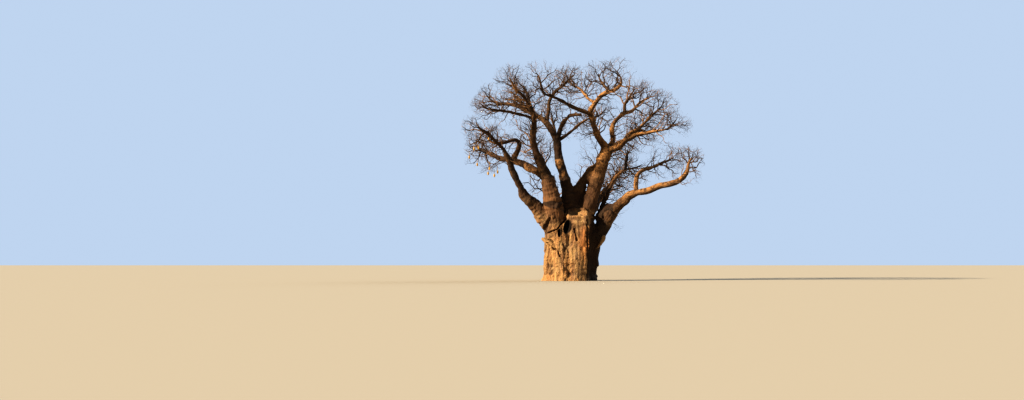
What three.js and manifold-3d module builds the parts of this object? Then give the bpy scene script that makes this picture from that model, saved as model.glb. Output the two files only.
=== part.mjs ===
// A baobab tree, bare in the dry season, from a flat cut at ground level to its furthest twigs.
//
// X runs to the right, Y away from the viewer and Z up, with the origin on the ground under the
// middle of the trunk. The tables are in metres and degrees, and the geometry is in millimetres.
//
// A limb is a chain of runs. A run is [length, bearing, climb, thickness at its end]: the bearing
// is counted in plan from +X (0) through +Y (90, away from the viewer), the climb above the level.
// A limb leaves its parent at one of the parent's knees, the points where two runs meet.

import * as THREE from 'three';
import { mergeVertices } from 'three/addons/utils/BufferGeometryUtils.js';
import Module from 'manifold-3d';

const wasm = await Module();
wasm.setup();

const MILLIMETRES = 1000;
const UP = new THREE.Vector3(0, 0, 1);
const CORNER_MERGE = 1e-7; // corners closer than this are one corner
const NEARLY_UPRIGHT = 0.05; // a heading that leans less than this has no side of its own

const PIECE_GAP = 0.0004; // between two pieces that meet
const TWIG_CLEARANCE = 0.015; // between a twig and a limb or another mass's stem
const SPACE_MARGIN = 0.01; // between a twig and the space of the next mass

const TRUNK_SIDES = 9;
const LIMB_SIDES = 7;
const STEM_SIDES = 4;
const LONG_RUN = 1.75; // a run longer than this gets a ring of faces midway too
const BURIED = 0.6; // how far the trunk's stems run below the ground before they are cut
const GROUND_BLOCK = 10; // the block that cuts the trunk off flat at the ground
const FLARE_SHARE = 0.08; // how much the root flare widens a stem at the ground
const FLARE_HEIGHT = 0.4;
const STRETCHES_PER_RUN = 3; // straight stretches that stand for one run of a limb
const COLLAR = 0.8; // how deep a limb is rooted in its parent, as a share of its thickness

// The trunk is six stems grown into one. Each starts at a foot [x, y, z] below the ground.
const TRUNK_STEMS = [
  { foot: [-0.85, -0.45, -BURIED], thickness: 1.8, runs: [[1.9, 170, 88, 1.7], [2.1, 260, 89, 1.6]] },
  { foot: [-0.45, -0.8, -BURIED], thickness: 1.6, runs: [[1.9, 180, 88, 1.55], [1.75, 210, 86, 1.2]] },
  { foot: [0.25, -0.65, -BURIED], thickness: 2.1, runs: [[2.2, 20, 88, 1.95], [2.9, 20, 88, 1.5]] },
  { foot: [0.95, 0.3, -BURIED], thickness: 1.55, runs: [[1.9, 0, 83, 1.5], [1.9, 0, 77, 1.35]] },
  { foot: [-0.15, 0.8, -BURIED], thickness: 2.4, runs: [[2.4, 20, 88, 2.1], [2.5, 20, 88, 1.7]] },
  { foot: [-0.4, 0.1, -BURIED], thickness: 1.5, runs: [[3.2, 90, 88, 1.4], [2.8, 170, 87, 0.7]] },
];

// A strand that rises from the trunk and grows back into the right-hand bough.
const BRACE = { foot: [0.2, 0, 4.0], thickness: 1.1,
  runs: [[1.95, 45, 75, 0.86], [1.2, 355, 65, 0.58], [1.35, 340, 40, 0.4]] };

// Broken stubs and burls that stand out of the trunk: [x, y, z], then half width, depth, height.
const TRUNK_KNOBS = [
  { centre: [-1.82, -0.55, 2.65], size: [0.2, 0.26, 0.3] },
  { centre: [2.0, -0.3, 2.7], size: [0.32, 0.3, 0.5] },
  { centre: [0.55, -1.0, 4.15], size: [0.75, 0.4, 0.36] },
  { centre: [0.9, -1.1, 1.6], size: [0.4, 0.35, 0.9] },
];

// Rot holes in the front of the trunk, cut as pointed hollows.
const TRUNK_HOLES = [
  { centre: [-0.27, -1.0, 3.5], size: [0.19, 0.45, 0.46] },
  { centre: [-0.85, -1.3, 3.15], size: [0.1, 0.25, 0.15] },
];

// Limbs that spring from the trunk have a start [x, y, z]; the others name a parent and a knee.
const LIMBS = [
  { name: 'left_stem', start: [-0.8, -0.4, 1.2], thickness: 1.5,
    runs: [[2.05, 230, 85, 1.36], [1.8, 210, 80, 1.26], [1.85, 200, 80, 0.9]] },
  { name: 'low_left_bough', start: [-0.8, -0.3, 2.5], thickness: 1.3,
    runs: [[2.4, 190, 60, 0.98], [1.4, 200, 45, 0.66], [1.4, 205, 55, 0.5], [0.95, 225, 60, 0.44],
      [1.05, 225, 60, 0.3], [0.75, 225, 40, 0.3], [1.1, 215, 35, 0.26]] },
  { name: 'left_bough', parent: 'left_stem', knee: 2.9, thickness: 0.7,
    runs: [[1.6, 160, 35, 0.6], [1.4, 150, 20, 0.5], [1.15, 155, 15, 0.4], [1.1, 150, 25, 0.32]] },
  { name: 'left_elbow', parent: 'left_bough', knee: 2, thickness: 0.34,
    runs: [[0.8, 320, 55, 0.33], [0.55, 300, 65, 0.32], [0.5, 225, 20, 0.27], [0.85, 210, -15, 0.24],
      [0.6, 205, -5, 0.2]] },
  { name: 'upper_left_bough', parent: 'left_stem', knee: 3, thickness: 0.8,
    runs: [[1.35, 215, 55, 0.68], [1.25, 230, 60, 0.56], [0.9, 275, 70, 0.46], [0.85, 285, 80, 0.42]] },
  { name: 'crown_left_branch', parent: 'upper_left_bough', knee: 4, thickness: 0.3,
    runs: [[0.7, 240, 45, 0.26], [0.85, 225, 50, 0.22], [0.8, 215, 35, 0.18]] },
  { name: 'left_arm_low', parent: 'upper_left_bough', knee: 3.8, thickness: 0.22,
    runs: [[1.05, 205, 15, 0.2], [0.7, 205, 10, 0.18], [0.8, 205, 5, 0.17], [0.6, 210, 0, 0.15]] },
  { name: 'left_arm_high', parent: 'upper_left_bough', knee: 4, thickness: 0.28,
    runs: [[1.3, 145, 35, 0.25], [0.95, 155, 15, 0.24], [0.7, 155, 5, 0.2]] },
  { name: 'centre_bough', start: [0.1, 0.2, 3.9], thickness: 1.15,
    runs: [[1.8, 180, 85, 0.88], [1.4, 150, 75, 0.62], [1.15, 145, 70, 0.6], [1.3, 115, 75, 0.56]] },
  { name: 'centre_left_branch', parent: 'centre_bough', knee: 4, thickness: 0.48,
    runs: [[1.05, 135, 60, 0.42], [0.75, 140, 50, 0.4], [0.8, 140, 35, 0.36], [0.85, 150, 30, 0.32]] },
  { name: 'centre_top_branch', parent: 'centre_left_branch', knee: 1.7, thickness: 0.28,
    runs: [[1.1, 85, 55, 0.26], [0.8, 70, 70, 0.24], [0.85, 40, 55, 0.22], [0.75, 30, 40, 0.2]] },
  { name: 'centre_hook', parent: 'centre_bough', knee: 4, thickness: 0.28,
    runs: [[1.05, 310, 65, 0.27], [0.85, 300, 40, 0.26], [0.9, 295, 10, 0.24], [0.85, 305, -5, 0.2]] },
  { name: 'centre_dark_branch', parent: 'centre_bough', knee: 4, thickness: 0.26,
    runs: [[1.0, 40, 30, 0.24], [0.9, 45, 35, 0.2], [1.45, 45, 30, 0.16], [0.65, 45, 20, 0.14]] },
  { name: 'right_bough', start: [0.9, 0.1, 3.2], thickness: 1.35,
    runs: [[1.7, 340, 80, 1.06], [1.45, 0, 70, 0.94], [1.35, 345, 70, 0.86], [1.3, 350, 75, 0.84]] },
  { name: 'top_bough', parent: 'right_bough', knee: 4, thickness: 0.6,
    runs: [[0.85, 215, 50, 0.5], [1.0, 225, 55, 0.42], [1.05, 230, 60, 0.36]] },
  { name: 'top_right_branch', parent: 'top_bough', knee: 3, thickness: 0.32,
    runs: [[0.65, 330, 55, 0.31], [0.65, 325, 50, 0.29], [0.6, 340, 25, 0.26]] },
  { name: 'top_inner_branch', parent: 'top_right_branch', knee: 1, thickness: 0.22,
    runs: [[0.9, 130, 35, 0.2], [0.8, 120, 40, 0.19], [0.75, 130, 30, 0.16]] },
  { name: 'top_left_branch', parent: 'top_bough', knee: 2.8, thickness: 0.26,
    runs: [[1.45, 220, 15, 0.24], [0.95, 220, 15, 0.22], [1.0, 220, 15, 0.2], [0.8, 215, 10, 0.17]] },
  { name: 'mid_right_branch', parent: 'right_bough', knee: 4, thickness: 0.4,
    runs: [[0.9, 40, 45, 0.36], [0.9, 95, 65, 0.35], [0.95, 55, 50, 0.33], [0.95, 40, 35, 0.3]] },
  { name: 'shoulder_bough', parent: 'right_bough', knee: 3.9, thickness: 0.6,
    runs: [[1.0, 335, 20, 0.5], [0.85, 315, 30, 0.4], [1.0, 320, 15, 0.26], [1.0, 325, 5, 0.2],
      [1.05, 325, 5, 0.16]] },
  { name: 'shoulder_branch', parent: 'shoulder_bough', knee: 1.2, thickness: 0.3,
    runs: [[0.95, 15, 50, 0.27], [0.9, 30, 30, 0.24], [0.55, 30, 40, 0.22], [0.7, 35, 40, 0.18]] },
  { name: 'low_right_bough', start: [1.3, 0.2, 2.0], thickness: 1.35,
    runs: [[1.55, 0, 60, 1.06], [1.05, 350, 60, 0.9], [0.95, 340, 50, 0.72], [0.85, 345, 40, 0.62],
      [0.7, 340, 25, 0.54]] },
  { name: 'low_right_arm', parent: 'low_right_bough', knee: 5, thickness: 0.46,
    runs: [[0.85, 330, 10, 0.42], [0.9, 335, 20, 0.42], [0.8, 325, 10, 0.42], [0.7, 335, 20, 0.36],
      [0.65, 320, 40, 0.26]] },
  { name: 'low_right_twist', parent: 'low_right_bough', knee: 5, thickness: 0.3,
    runs: [[0.7, 85, 65, 0.26], [0.7, 60, 60, 0.25], [0.7, 45, 35, 0.24], [0.85, 35, 15, 0.22],
      [0.9, 40, 20, 0.18]] },
  { name: 'right_riser', parent: 'low_right_bough', knee: 0.9, thickness: 0.55,
    runs: [[2.05, 65, 70, 0.46], [1.05, 50, 55, 0.36], [1.1, 50, 55, 0.3], [1.3, 35, 35, 0.26]] },
  { name: 'back_left_bough', start: [-0.5, 0.9, 3.0], thickness: 1.0,
    runs: [[2.4, 115, 65, 0.74], [2.1, 110, 55, 0.56], [1.9, 120, 55, 0.4]] },
  { name: 'back_middle_bough', start: [0, 1.2, 3.6], thickness: 0.95,
    runs: [[2.1, 85, 65, 0.7], [2.1, 110, 55, 0.52], [1.6, 100, 50, 0.4]] },
  { name: 'back_right_bough', start: [1.1, 1.0, 2.9], thickness: 1.0,
    runs: [[2.25, 70, 65, 0.78], [1.85, 60, 60, 0.6], [1.85, 60, 50, 0.48], [1.6, 65, 55, 0.4]] },
  { name: 'back_right_branch', parent: 'back_right_bough', knee: 4, thickness: 0.34,
    runs: [[1.2, 35, 25, 0.3], [1.15, 35, 25, 0.24]] },
  { name: 'low_back_bough', start: [0.5, 1.3, 1.9], thickness: 1.1,
    runs: [[2.55, 70, 50, 0.84], [2.1, 60, 40, 0.66], [1.7, 60, 30, 0.52], [1.6, 60, 30, 0.38]] },
];

// Each mass of twigs grows from one stem, which goes on from its limb's tip. Its space is a ball
// of radius reach round the stem's heart, a knee, and ends halfway to the balls next to it.
const MASSES = [
  { name: 'low_left_twigs', parent: 'low_left_bough', thickness: 0.24, heart: 0.8, reach: 1.5,
    runs: [[0.6, 225, 20, 0.16], [0.6, 200, 50, 0.05]] },
  { name: 'left_twigs', parent: 'left_bough', thickness: 0.28, heart: 0.8, reach: 1.5,
    runs: [[0.7, 140, 20, 0.18], [0.6, 125, 40, 0.05]] },
  { name: 'left_hanging_twigs', parent: 'left_bough', thickness: 0.16, heart: 1.2, reach: 1.2,
    runs: [[0.6, 285, -60, 0.11], [0.6, 320, -55, 0.04]] },
  { name: 'elbow_twigs', parent: 'left_elbow', thickness: 0.18, heart: 0.7, reach: 1.3,
    runs: [[0.45, 195, 15, 0.13], [0.5, 150, 55, 0.04]] },
  { name: 'left_arm_low_twigs', parent: 'left_arm_low', thickness: 0.14, heart: 0.5, reach: 1.4,
    runs: [[0.5, 215, 15, 0.1], [0.5, 225, 30, 0.04]] },
  { name: 'left_arm_high_twigs', parent: 'left_arm_high', thickness: 0.18, heart: 0.6, reach: 1.4,
    runs: [[0.75, 155, 30, 0.12], [0.5, 140, 50, 0.04]] },
  { name: 'upper_left_twigs', parent: 'upper_left_bough', thickness: 0.34, heart: 2.3, reach: 1.65,
    runs: [[0.95, 145, 70, 0.24], [0.8, 135, 70, 0.16], [0.6, 140, 65, 0.05]] },
  { name: 'crown_left_twigs', parent: 'crown_left_branch', thickness: 0.17, heart: 0.9, reach: 1.45,
    runs: [[0.6, 230, 45, 0.12], [0.5, 230, 50, 0.04]] },
  { name: 'centre_left_twigs', parent: 'centre_left_branch', thickness: 0.3, heart: 1.4, reach: 1.65,
    runs: [[1.15, 150, 45, 0.2], [1.0, 140, 45, 0.05]] },
  { name: 'centre_top_twigs', parent: 'centre_top_branch', thickness: 0.19, heart: 0.8, reach: 1.5,
    runs: [[0.8, 20, 40, 0.14], [0.6, 40, 50, 0.05]] },
  { name: 'centre_dark_twigs', parent: 'centre_dark_branch', thickness: 0.14, heart: 1.2, reach: 1.45,
    runs: [[1.2, 45, 20, 0.11], [0.9, 50, 40, 0.04]] },
  { name: 'top_loop_twigs', parent: 'top_right_branch', thickness: 0.25, heart: 2.5, reach: 1.6,
    runs: [[0.55, 315, 5, 0.23], [0.7, 315, 35, 0.2], [0.6, 230, 65, 0.13], [0.5, 205, 40, 0.05]] },
  { name: 'top_twigs', parent: 'top_right_branch', thickness: 0.2, heart: 2, reach: 1.45,
    runs: [[0.95, 105, 35, 0.17], [0.6, 135, 50, 0.12], [0.5, 105, 65, 0.05]] },
  { name: 'top_inner_twigs', parent: 'top_inner_branch', thickness: 0.15, heart: 0.8, reach: 1.35,
    runs: [[0.7, 140, 40, 0.11], [0.5, 120, 60, 0.04]] },
  { name: 'top_left_twigs', parent: 'top_left_branch', thickness: 0.16, heart: 1.6, reach: 1.5,
    runs: [[0.6, 230, 60, 0.14], [0.55, 235, 65, 0.11], [0.4, 215, 50, 0.04]] },
  { name: 'mid_right_twigs', parent: 'mid_right_branch', thickness: 0.28, heart: 2.2, reach: 1.75,
    runs: [[0.85, 45, 15, 0.24], [1.2, 50, 35, 0.17], [1.0, 35, 30, 0.05]] },
  { name: 'mid_top_twigs', parent: 'mid_right_branch', thickness: 0.25, heart: 2.3, reach: 1.5,
    runs: [[0.65, 275, 70, 0.2], [0.65, 320, 50, 0.15], [0.7, 325, 50, 0.05]] },
  { name: 'shoulder_tip_twigs', parent: 'shoulder_bough', thickness: 0.15, heart: 0.8, reach: 1.5,
    runs: [[0.5, 315, 35, 0.11], [0.6, 300, 35, 0.04]] },
  { name: 'shoulder_twigs', parent: 'shoulder_branch', thickness: 0.17, heart: 1.1, reach: 1.6,
    runs: [[0.8, 20, 40, 0.13], [0.6, 25, 45, 0.04]] },
  { name: 'low_right_twigs', parent: 'low_right_arm', thickness: 0.24, heart: 0.7, reach: 1.5,
    runs: [[0.7, 300, 70, 0.17], [0.45, 320, 50, 0.05]] },
  { name: 'twist_twigs', parent: 'low_right_twist', thickness: 0.17, heart: 0.7, reach: 1.6,
    runs: [[0.85, 35, 20, 0.12], [0.7, 45, 25, 0.04]] },
  { name: 'riser_twigs', parent: 'right_riser', thickness: 0.23, heart: 1, reach: 1.6,
    runs: [[1.0, 75, 60, 0.16], [0.8, 70, 55, 0.05]] },
  { name: 'riser_side_twigs', parent: 'right_riser', thickness: 0.16, heart: 0.9, reach: 1.5,
    runs: [[1.0, 40, 10, 0.11], [0.9, 40, 20, 0.04]] },
  { name: 'back_left_twigs', parent: 'back_left_bough', thickness: 0.38, heart: 1.2, reach: 2.3,
    runs: [[1.65, 120, 50, 0.22], [1.3, 105, 55, 0.05]] },
  { name: 'back_middle_twigs', parent: 'back_middle_bough', thickness: 0.38, heart: 2.3, reach: 2.1,
    runs: [[1.6, 100, 60, 0.26], [1.5, 105, 60, 0.16], [1.2, 110, 60, 0.05]] },
  { name: 'back_right_twigs', parent: 'back_right_branch', thickness: 0.23, heart: 1, reach: 2.2,
    runs: [[1.25, 35, 35, 0.16], [1.25, 35, 45, 0.05]] },
  { name: 'back_top_twigs', parent: 'back_right_bough', thickness: 0.32, heart: 2.2, reach: 2.2,
    runs: [[1.1, 120, 50, 0.26], [1.5, 115, 50, 0.16], [1.3, 100, 60, 0.05]] },
  { name: 'low_back_twigs', parent: 'low_back_bough', thickness: 0.36, heart: 0.9, reach: 2.1,
    runs: [[1.25, 55, 35, 0.2], [1.0, 65, 45, 0.05]] },
];

// How twigs branch, level by level: laterals on the stem, then the twigs on those. The angle
// from the parent closes from the first figure at the parent's foot to the second at its tip.
const GROWTH = [
  { tries: 14, most: 5, from: 0.15, spread: [75, 15], longest: 1.8, share: 1.2, thickness: 0.11, steps: 2 },
  { tries: 4, most: 3, from: 0.2, spread: [70, 35], longest: 0.8, share: 0.6, thickness: 0.06, steps: 1 },
];
const EVEN_PLACES = 0.7549; // these two spread any number of twigs evenly along their parent
const EVEN_TURNS = 0.5698; // and round it
const TWIG_LIFT = 0.16; // how strongly a twig bends up, as a share of its length
const TWIG_WANDER = 0.4; // how far it bends aside
const LENGTH_SPREAD = [0.7, 1.3]; // how much shorter or longer a twig is than its level's rule
const TIP_FILL = 0.97; // how much of the way to the edge of its space a twig may grow
const SHORTEST_SHARE = 0.5; // a twig cut shorter than this share of its length is skipped
const TWIG_CHECKS = 4; // points along a twig that are tested for room
const FIRST_SEED = 101;
const SEED_STEP = 17;
const FOOT_SHARE = 0.6; // a twig is at most this share as thick as its parent where it leaves

// Hanging fruit: which mass carries it, how far along its stem, and how many.
const FRUITS = [
  { mass: 'left_hanging_twigs', knees: [0.6, 1.5] },
  { mass: 'left_twigs', knees: [0.7, 1.6] },
  { mass: 'low_left_twigs', knees: [0.8] },
];
const FRUIT_LENGTH = 0.2;
const FRUIT_THICKNESS = 0.1;
const FRUIT_STALK = 0.28;
const STALK_THICKNESS = 0.016;

const BARK = new THREE.MeshStandardMaterial({ color: 0x8a6240, roughness: 0.92, metalness: 0 });
const LIMB_BARK = new THREE.MeshStandardMaterial({ color: 0x7a5538, roughness: 0.9, metalness: 0 });
const TWIG_BARK = new THREE.MeshStandardMaterial({ color: 0x6d5a48, roughness: 0.88, metalness: 0 });

const radians = THREE.MathUtils.degToRad;

// A repeatable number from 0 to 1 for a twig's seed and the number of the draw.
function chance(seed, draw) {
  const value = Math.sin(seed * 127.1 + draw * 311.7) * 43758.5453;
  return value - Math.floor(value);
}

function childSeed(seed, index) {
  return (seed * 31 + index + 1) % 9973;
}

// Closed geometry to a solid, with its shared corners merged.
function solidOf(geometry) {
  geometry.deleteAttribute('normal');
  geometry.deleteAttribute('uv');
  const merged = mergeVertices(geometry, CORNER_MERGE);
  return new wasm.Manifold(new wasm.Mesh({
    numProp: 3,
    vertProperties: new Float32Array(merged.attributes.position.array),
    triVerts: new Uint32Array(merged.index.array),
  }));
}

function meshOf(name, solid, material) {
  const { vertProperties, triVerts } = solid.getMesh();
  const geometry = new THREE.BufferGeometry();
  geometry.setAttribute('position', new THREE.BufferAttribute(vertProperties, 3));
  geometry.setIndex(new THREE.BufferAttribute(triVerts, 1));
  geometry.scale(MILLIMETRES, MILLIMETRES, MILLIMETRES);
  geometry.computeVertexNormals();
  const mesh = new THREE.Mesh(geometry, material);
  mesh.name = name;
  return mesh;
}

// Bends a cylinder or cone of height 1 along its length: place(share, x, z) gives the new corner.
function bend(geometry, place) {
  const corners = geometry.attributes.position;
  for (let i = 0; i < corners.count; i += 1) {
    const share = corners.getY(i) + 0.5;
    const corner = place(share, corners.getX(i), corners.getZ(i));
    corners.setXYZ(i, corner.x, corner.y, corner.z);
  }
  return solidOf(geometry);
}

function runEnd(start, [length, bearing, climb]) {
  const level = length * Math.cos(radians(climb));
  return new THREE.Vector3(
    start.x + level * Math.cos(radians(bearing)),
    start.y + level * Math.sin(radians(bearing)),
    start.z + length * Math.sin(radians(climb)),
  );
}

// A tapering limb along the smooth curve through its knees. Knee 0 is where it leaves its parent,
// and one point before that lies a collar's depth back inside the parent.
class Limb {
  constructor({ name, runs, thickness }, start, backward, sides) {
    this.name = name;
    this.sides = sides;
    const root = start.clone().addScaledVector(backward, COLLAR * thickness);
    this.points = [root, start];
    this.radii = [thickness / 2, thickness / 2];
    for (const run of runs) {
      this.points.push(runEnd(this.points[this.points.length - 1], run));
      this.radii.push(run[3] / 2);
    }
    this.curve = new THREE.CatmullRomCurve3(this.points, false, 'centripetal');
  }

  share(knee) {
    return (knee + 1) / (this.points.length - 1);
  }

  pointAt(knee) {
    return this.curve.getPoint(this.share(knee));
  }

  directionAt(knee) {
    return this.curve.getTangent(this.share(knee));
  }

  get lastKnee() {
    return this.points.length - 2;
  }

  radiusAt(share) {
    const place = share * (this.radii.length - 1);
    const before = Math.min(Math.floor(place), this.radii.length - 2);
    return THREE.MathUtils.lerp(this.radii[before], this.radii[before + 1], place - before);
  }

  // Where the rings of faces lie along the curve: at every knee, and midway on a long run.
  ringShares() {
    const last = this.points.length - 1;
    const shares = [];
    for (let i = 0; i < last; i += 1) {
      shares.push(i / last);
      if (this.points[i].distanceTo(this.points[i + 1]) > LONG_RUN) {
        shares.push((i + 0.5) / last);
      }
    }
    return [...shares, 1];
  }

  // The limb as a solid, grown on all sides when it is to cut its neighbours. The flare is a
  // function of the height that widens it.
  solid(grow = 0, flare = () => 1) {
    const shares = this.ringShares();
    const last = shares.length - 1;
    const tube = new THREE.CylinderGeometry(1, 1, 1, this.sides, last);
    let side = sideways(this.curve.getTangent(0));
    const frames = shares.map((share) => {
      const along = this.curve.getTangent(share);
      side = side.clone().addScaledVector(along, -side.dot(along)).normalize();
      return { along, side, across: along.clone().cross(side) };
    });
    return bend(tube, (height, x, z) => {
      const ring = Math.round(height * last);
      const { along, side: normal, across } = frames[ring];
      const centre = this.curve.getPoint(shares[ring]);
      const radius = this.radiusAt(shares[ring]) * flare(centre.z) + grow;
      const end = ring === 0 ? -grow : ring === last ? grow : 0;
      return centre
        .addScaledVector(along, end)
        .addScaledVector(across, x * radius)
        .addScaledVector(normal, z * radius);
    });
  }

  // Short straight stretches with their radii, for testing what lies near.
  capsules() {
    const count = STRETCHES_PER_RUN * (this.points.length - 1);
    const list = [];
    for (let i = 0; i < count; i += 1) {
      list.push({
        from: this.curve.getPoint(i / count),
        to: this.curve.getPoint((i + 1) / count),
        radius: Math.max(this.radiusAt(i / count), this.radiusAt((i + 1) / count)),
      });
    }
    return list;
  }
}

// The space a mass keeps to: a ball, cut off halfway to each neighbouring ball.
class Space {
  constructor(centre, reach) {
    this.centre = centre;
    this.reach = reach;
    this.walls = [];
  }

  meet(other) {
    const normal = other.centre.clone().sub(this.centre);
    const distance = normal.length();
    const offset = (distance ** 2 + this.reach ** 2 - other.reach ** 2) / (2 * distance);
    if (offset < this.reach) {
      this.walls.push({ normal: normal.normalize(), offset });
    }
  }

  holds(point, margin) {
    const local = point.clone().sub(this.centre);
    return local.length() <= this.reach
      && this.walls.every(({ normal, offset }) => local.dot(normal) <= offset - margin);
  }

  // How far a straight line can run from a point in a direction before it leaves the space.
  room(point, direction, margin) {
    const local = point.clone().sub(this.centre);
    const along = local.dot(direction);
    const inside = this.reach ** 2 - local.lengthSq();
    if (inside <= 0) {
      return 0;
    }
    let room = Math.sqrt(along ** 2 + inside) - along;
    for (const { normal, offset } of this.walls) {
      const approach = direction.dot(normal);
      if (approach > 1e-6) {
        room = Math.min(room, (offset - margin - local.dot(normal)) / approach);
      }
    }
    return Math.max(room, 0);
  }
}

// A twig is a curve that leaves its parent straight and bends up and aside towards its tip.
class Twig {
  constructor(start, heading, length, thickness, seed) {
    this.start = start;
    this.heading = heading;
    this.length = length;
    this.thickness = thickness;
    this.seed = seed;
    const aside = new THREE.Vector3(chance(seed, 1) - 0.5, chance(seed, 2) - 0.5, chance(seed, 3) - 0.5);
    this.pull = aside.multiplyScalar(TWIG_WANDER).addScaledVector(UP, TWIG_LIFT);
  }

  pointAt(share) {
    return this.start.clone()
      .addScaledVector(this.heading, this.length * share)
      .addScaledVector(this.pull, this.length * share ** 2);
  }

  directionAt(share) {
    return this.heading.clone().addScaledVector(this.pull, 2 * share).normalize();
  }

  radiusAt(share) {
    return this.thickness / 2 * (1 - share);
  }

  solid(steps) {
    const side = sideways(this.heading);
    const across = side.clone().cross(this.heading).normalize();
    const cone = new THREE.ConeGeometry(1, 1, 3, steps);
    return bend(cone, (share, x, z) => this.pointAt(share)
      .addScaledVector(across, x * this.thickness / 2)
      .addScaledVector(side, -z * this.thickness / 2));
  }
}

// A level direction square to a heading, or X for a heading that is almost upright.
function sideways(heading) {
  const side = heading.clone().cross(UP);
  if (side.length() < NEARLY_UPRIGHT) {
    side.set(1, 0, 0);
  }
  return side.normalize();
}

// The heading of a side twig: spread degrees away from its parent's, turned round it.
function branchHeading(direction, spread, turn) {
  const side = sideways(direction);
  const over = side.clone().cross(direction);
  return direction.clone().multiplyScalar(Math.cos(radians(spread)))
    .addScaledVector(side, Math.sin(radians(spread)) * Math.cos(radians(turn)))
    .addScaledVector(over, Math.sin(radians(spread)) * Math.sin(radians(turn)))
    .normalize();
}

function distanceToCapsule(point, { from, to }) {
  const line = to.clone().sub(from);
  const share = THREE.MathUtils.clamp(point.clone().sub(from).dot(line) / line.lengthSq(), 0, 1);
  return point.distanceTo(from.clone().addScaledVector(line, share));
}

function hasRoom(twig, space, obstacles) {
  for (let i = 1; i <= TWIG_CHECKS; i += 1) {
    const point = twig.pointAt(i / TWIG_CHECKS);
    const radius = twig.radiusAt((i - 1) / TWIG_CHECKS);
    if (!space.holds(point, radius + SPACE_MARGIN)) {
      return false;
    }
    const near = radius + TWIG_CLEARANCE;
    if (obstacles.some((capsule) => distanceToCapsule(point, capsule) < capsule.radius + near)) {
      return false;
    }
  }
  return true;
}

// The twigs of one level that grow on a parent, a stem or a twig, wherever they have room.
function sprout(parent, level, seed, space, obstacles) {
  const { tries, most, from, spread, longest, share, thickness } = GROWTH[level];
  const twigs = [];
  for (let i = 0; i < tries && twigs.length < most; i += 1) {
    const twigSeed = childSeed(seed, i);
    const place = from + (1 - from) * ((chance(seed, 4) + EVEN_PLACES * i) % 1);
    const start = parent.pointAt(place);
    const closing = THREE.MathUtils.lerp(...spread, place);
    const turn = 360 * ((chance(seed, 5) + EVEN_TURNS * i) % 1);
    const heading = branchHeading(parent.directionAt(place), closing, turn);
    const wanted = Math.min(longest, share * parent.length)
      * THREE.MathUtils.lerp(...LENGTH_SPREAD, chance(twigSeed, 6));
    const foot = Math.min(thickness, FOOT_SHARE * 2 * parent.radiusAt(place));
    const margin = foot / 2 + SPACE_MARGIN;
    const bentHeading = heading.clone().addScaledVector(UP, TWIG_LIFT).normalize();
    const room = space.room(start, bentHeading, margin) / (1 + TWIG_LIFT / 2);
    const length = Math.min(wanted, TIP_FILL * room);
    const twig = new Twig(start, heading, length, foot, twigSeed);
    if (length > SHORTEST_SHARE * wanted && hasRoom(twig, space, obstacles)) {
      twigs.push(twig);
    }
  }
  return twigs;
}

// A stem seen as a parent of twigs, with places counted from 0 at its foot to 1 at its tip.
function asParent(stem) {
  return {
    length: stem.curve.getLength(),
    pointAt: (place) => stem.pointAt(place * stem.lastKnee),
    directionAt: (place) => stem.directionAt(place * stem.lastKnee),
    radiusAt: (place) => stem.radiusAt(stem.share(place * stem.lastKnee)),
  };
}

// A velvety pod on a long stalk, hanging straight down from a point on a stem.
function fruit(top) {
  const stalk = new THREE.ConeGeometry(STALK_THICKNESS / 2, FRUIT_STALK, 3);
  stalk.rotateX(Math.PI / 2);
  stalk.translate(top.x, top.y, top.z - FRUIT_STALK / 2);
  const pod = new THREE.SphereGeometry(0.5, 6, 4);
  pod.rotateX(Math.PI / 2);
  pod.scale(FRUIT_THICKNESS, FRUIT_THICKNESS, FRUIT_LENGTH);
  pod.translate(top.x, top.y, top.z - FRUIT_STALK - FRUIT_LENGTH / 2 + STALK_THICKNESS);
  return solidOf(stalk).add(solidOf(pod));
}

function largestPiece(solid) {
  return solid.decompose().reduce((best, piece) => (piece.volume() > best.volume() ? piece : best));
}

function boxesMeet(a, b) {
  return [0, 1, 2].every((axis) => a.min[axis] <= b.max[axis] && b.min[axis] <= a.max[axis]);
}

// A knob or hole: a low-sided ball drawn out to its three half sizes.
function blob({ centre, size }, geometry) {
  geometry.scale(...size);
  geometry.translate(...centre);
  return solidOf(geometry);
}

function trunkSolid(grow = 0) {
  const flare = (height) => 1 + FLARE_SHARE * Math.exp(-Math.max(height, 0) / FLARE_HEIGHT);
  let solid = null;
  for (const stem of [...TRUNK_STEMS, BRACE]) {
    const limb = new Limb(stem, new THREE.Vector3(...stem.foot), UP.clone().negate(), TRUNK_SIDES);
    const part = limb.solid(grow, flare);
    solid = solid ? solid.add(part) : part;
  }
  for (const knob of TRUNK_KNOBS) {
    const size = knob.size.map((half) => half + grow);
    solid = solid.add(blob({ centre: knob.centre, size }, new THREE.IcosahedronGeometry(1, 1)));
  }
  if (grow === 0) {
    for (const hole of TRUNK_HOLES) {
      solid = solid.subtract(blob(hole, new THREE.OctahedronGeometry(1, 0)));
    }
  }
  const ground = new THREE.BoxGeometry(GROUND_BLOCK, GROUND_BLOCK, GROUND_BLOCK);
  ground.translate(0, 0, -GROUND_BLOCK / 2 - grow);
  return solid.subtract(solidOf(ground));
}

const group = new THREE.Group();
group.name = 'baobab_tree';

// Pieces already placed, each with a slightly grown copy that cuts whatever comes after it.
const placed = [];

function place(name, solid, cutter, material) {
  const box = solid.boundingBox();
  let cut = solid;
  for (const earlier of placed) {
    if (boxesMeet(box, earlier.box)) {
      cut = cut.subtract(earlier.cutter);
    }
  }
  cut = largestPiece(cut);
  placed.push({ cutter, box: cutter.boundingBox() });
  group.add(meshOf(name, cut, material));
}

place('trunk', trunkSolid(), trunkSolid(PIECE_GAP), BARK);

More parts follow.
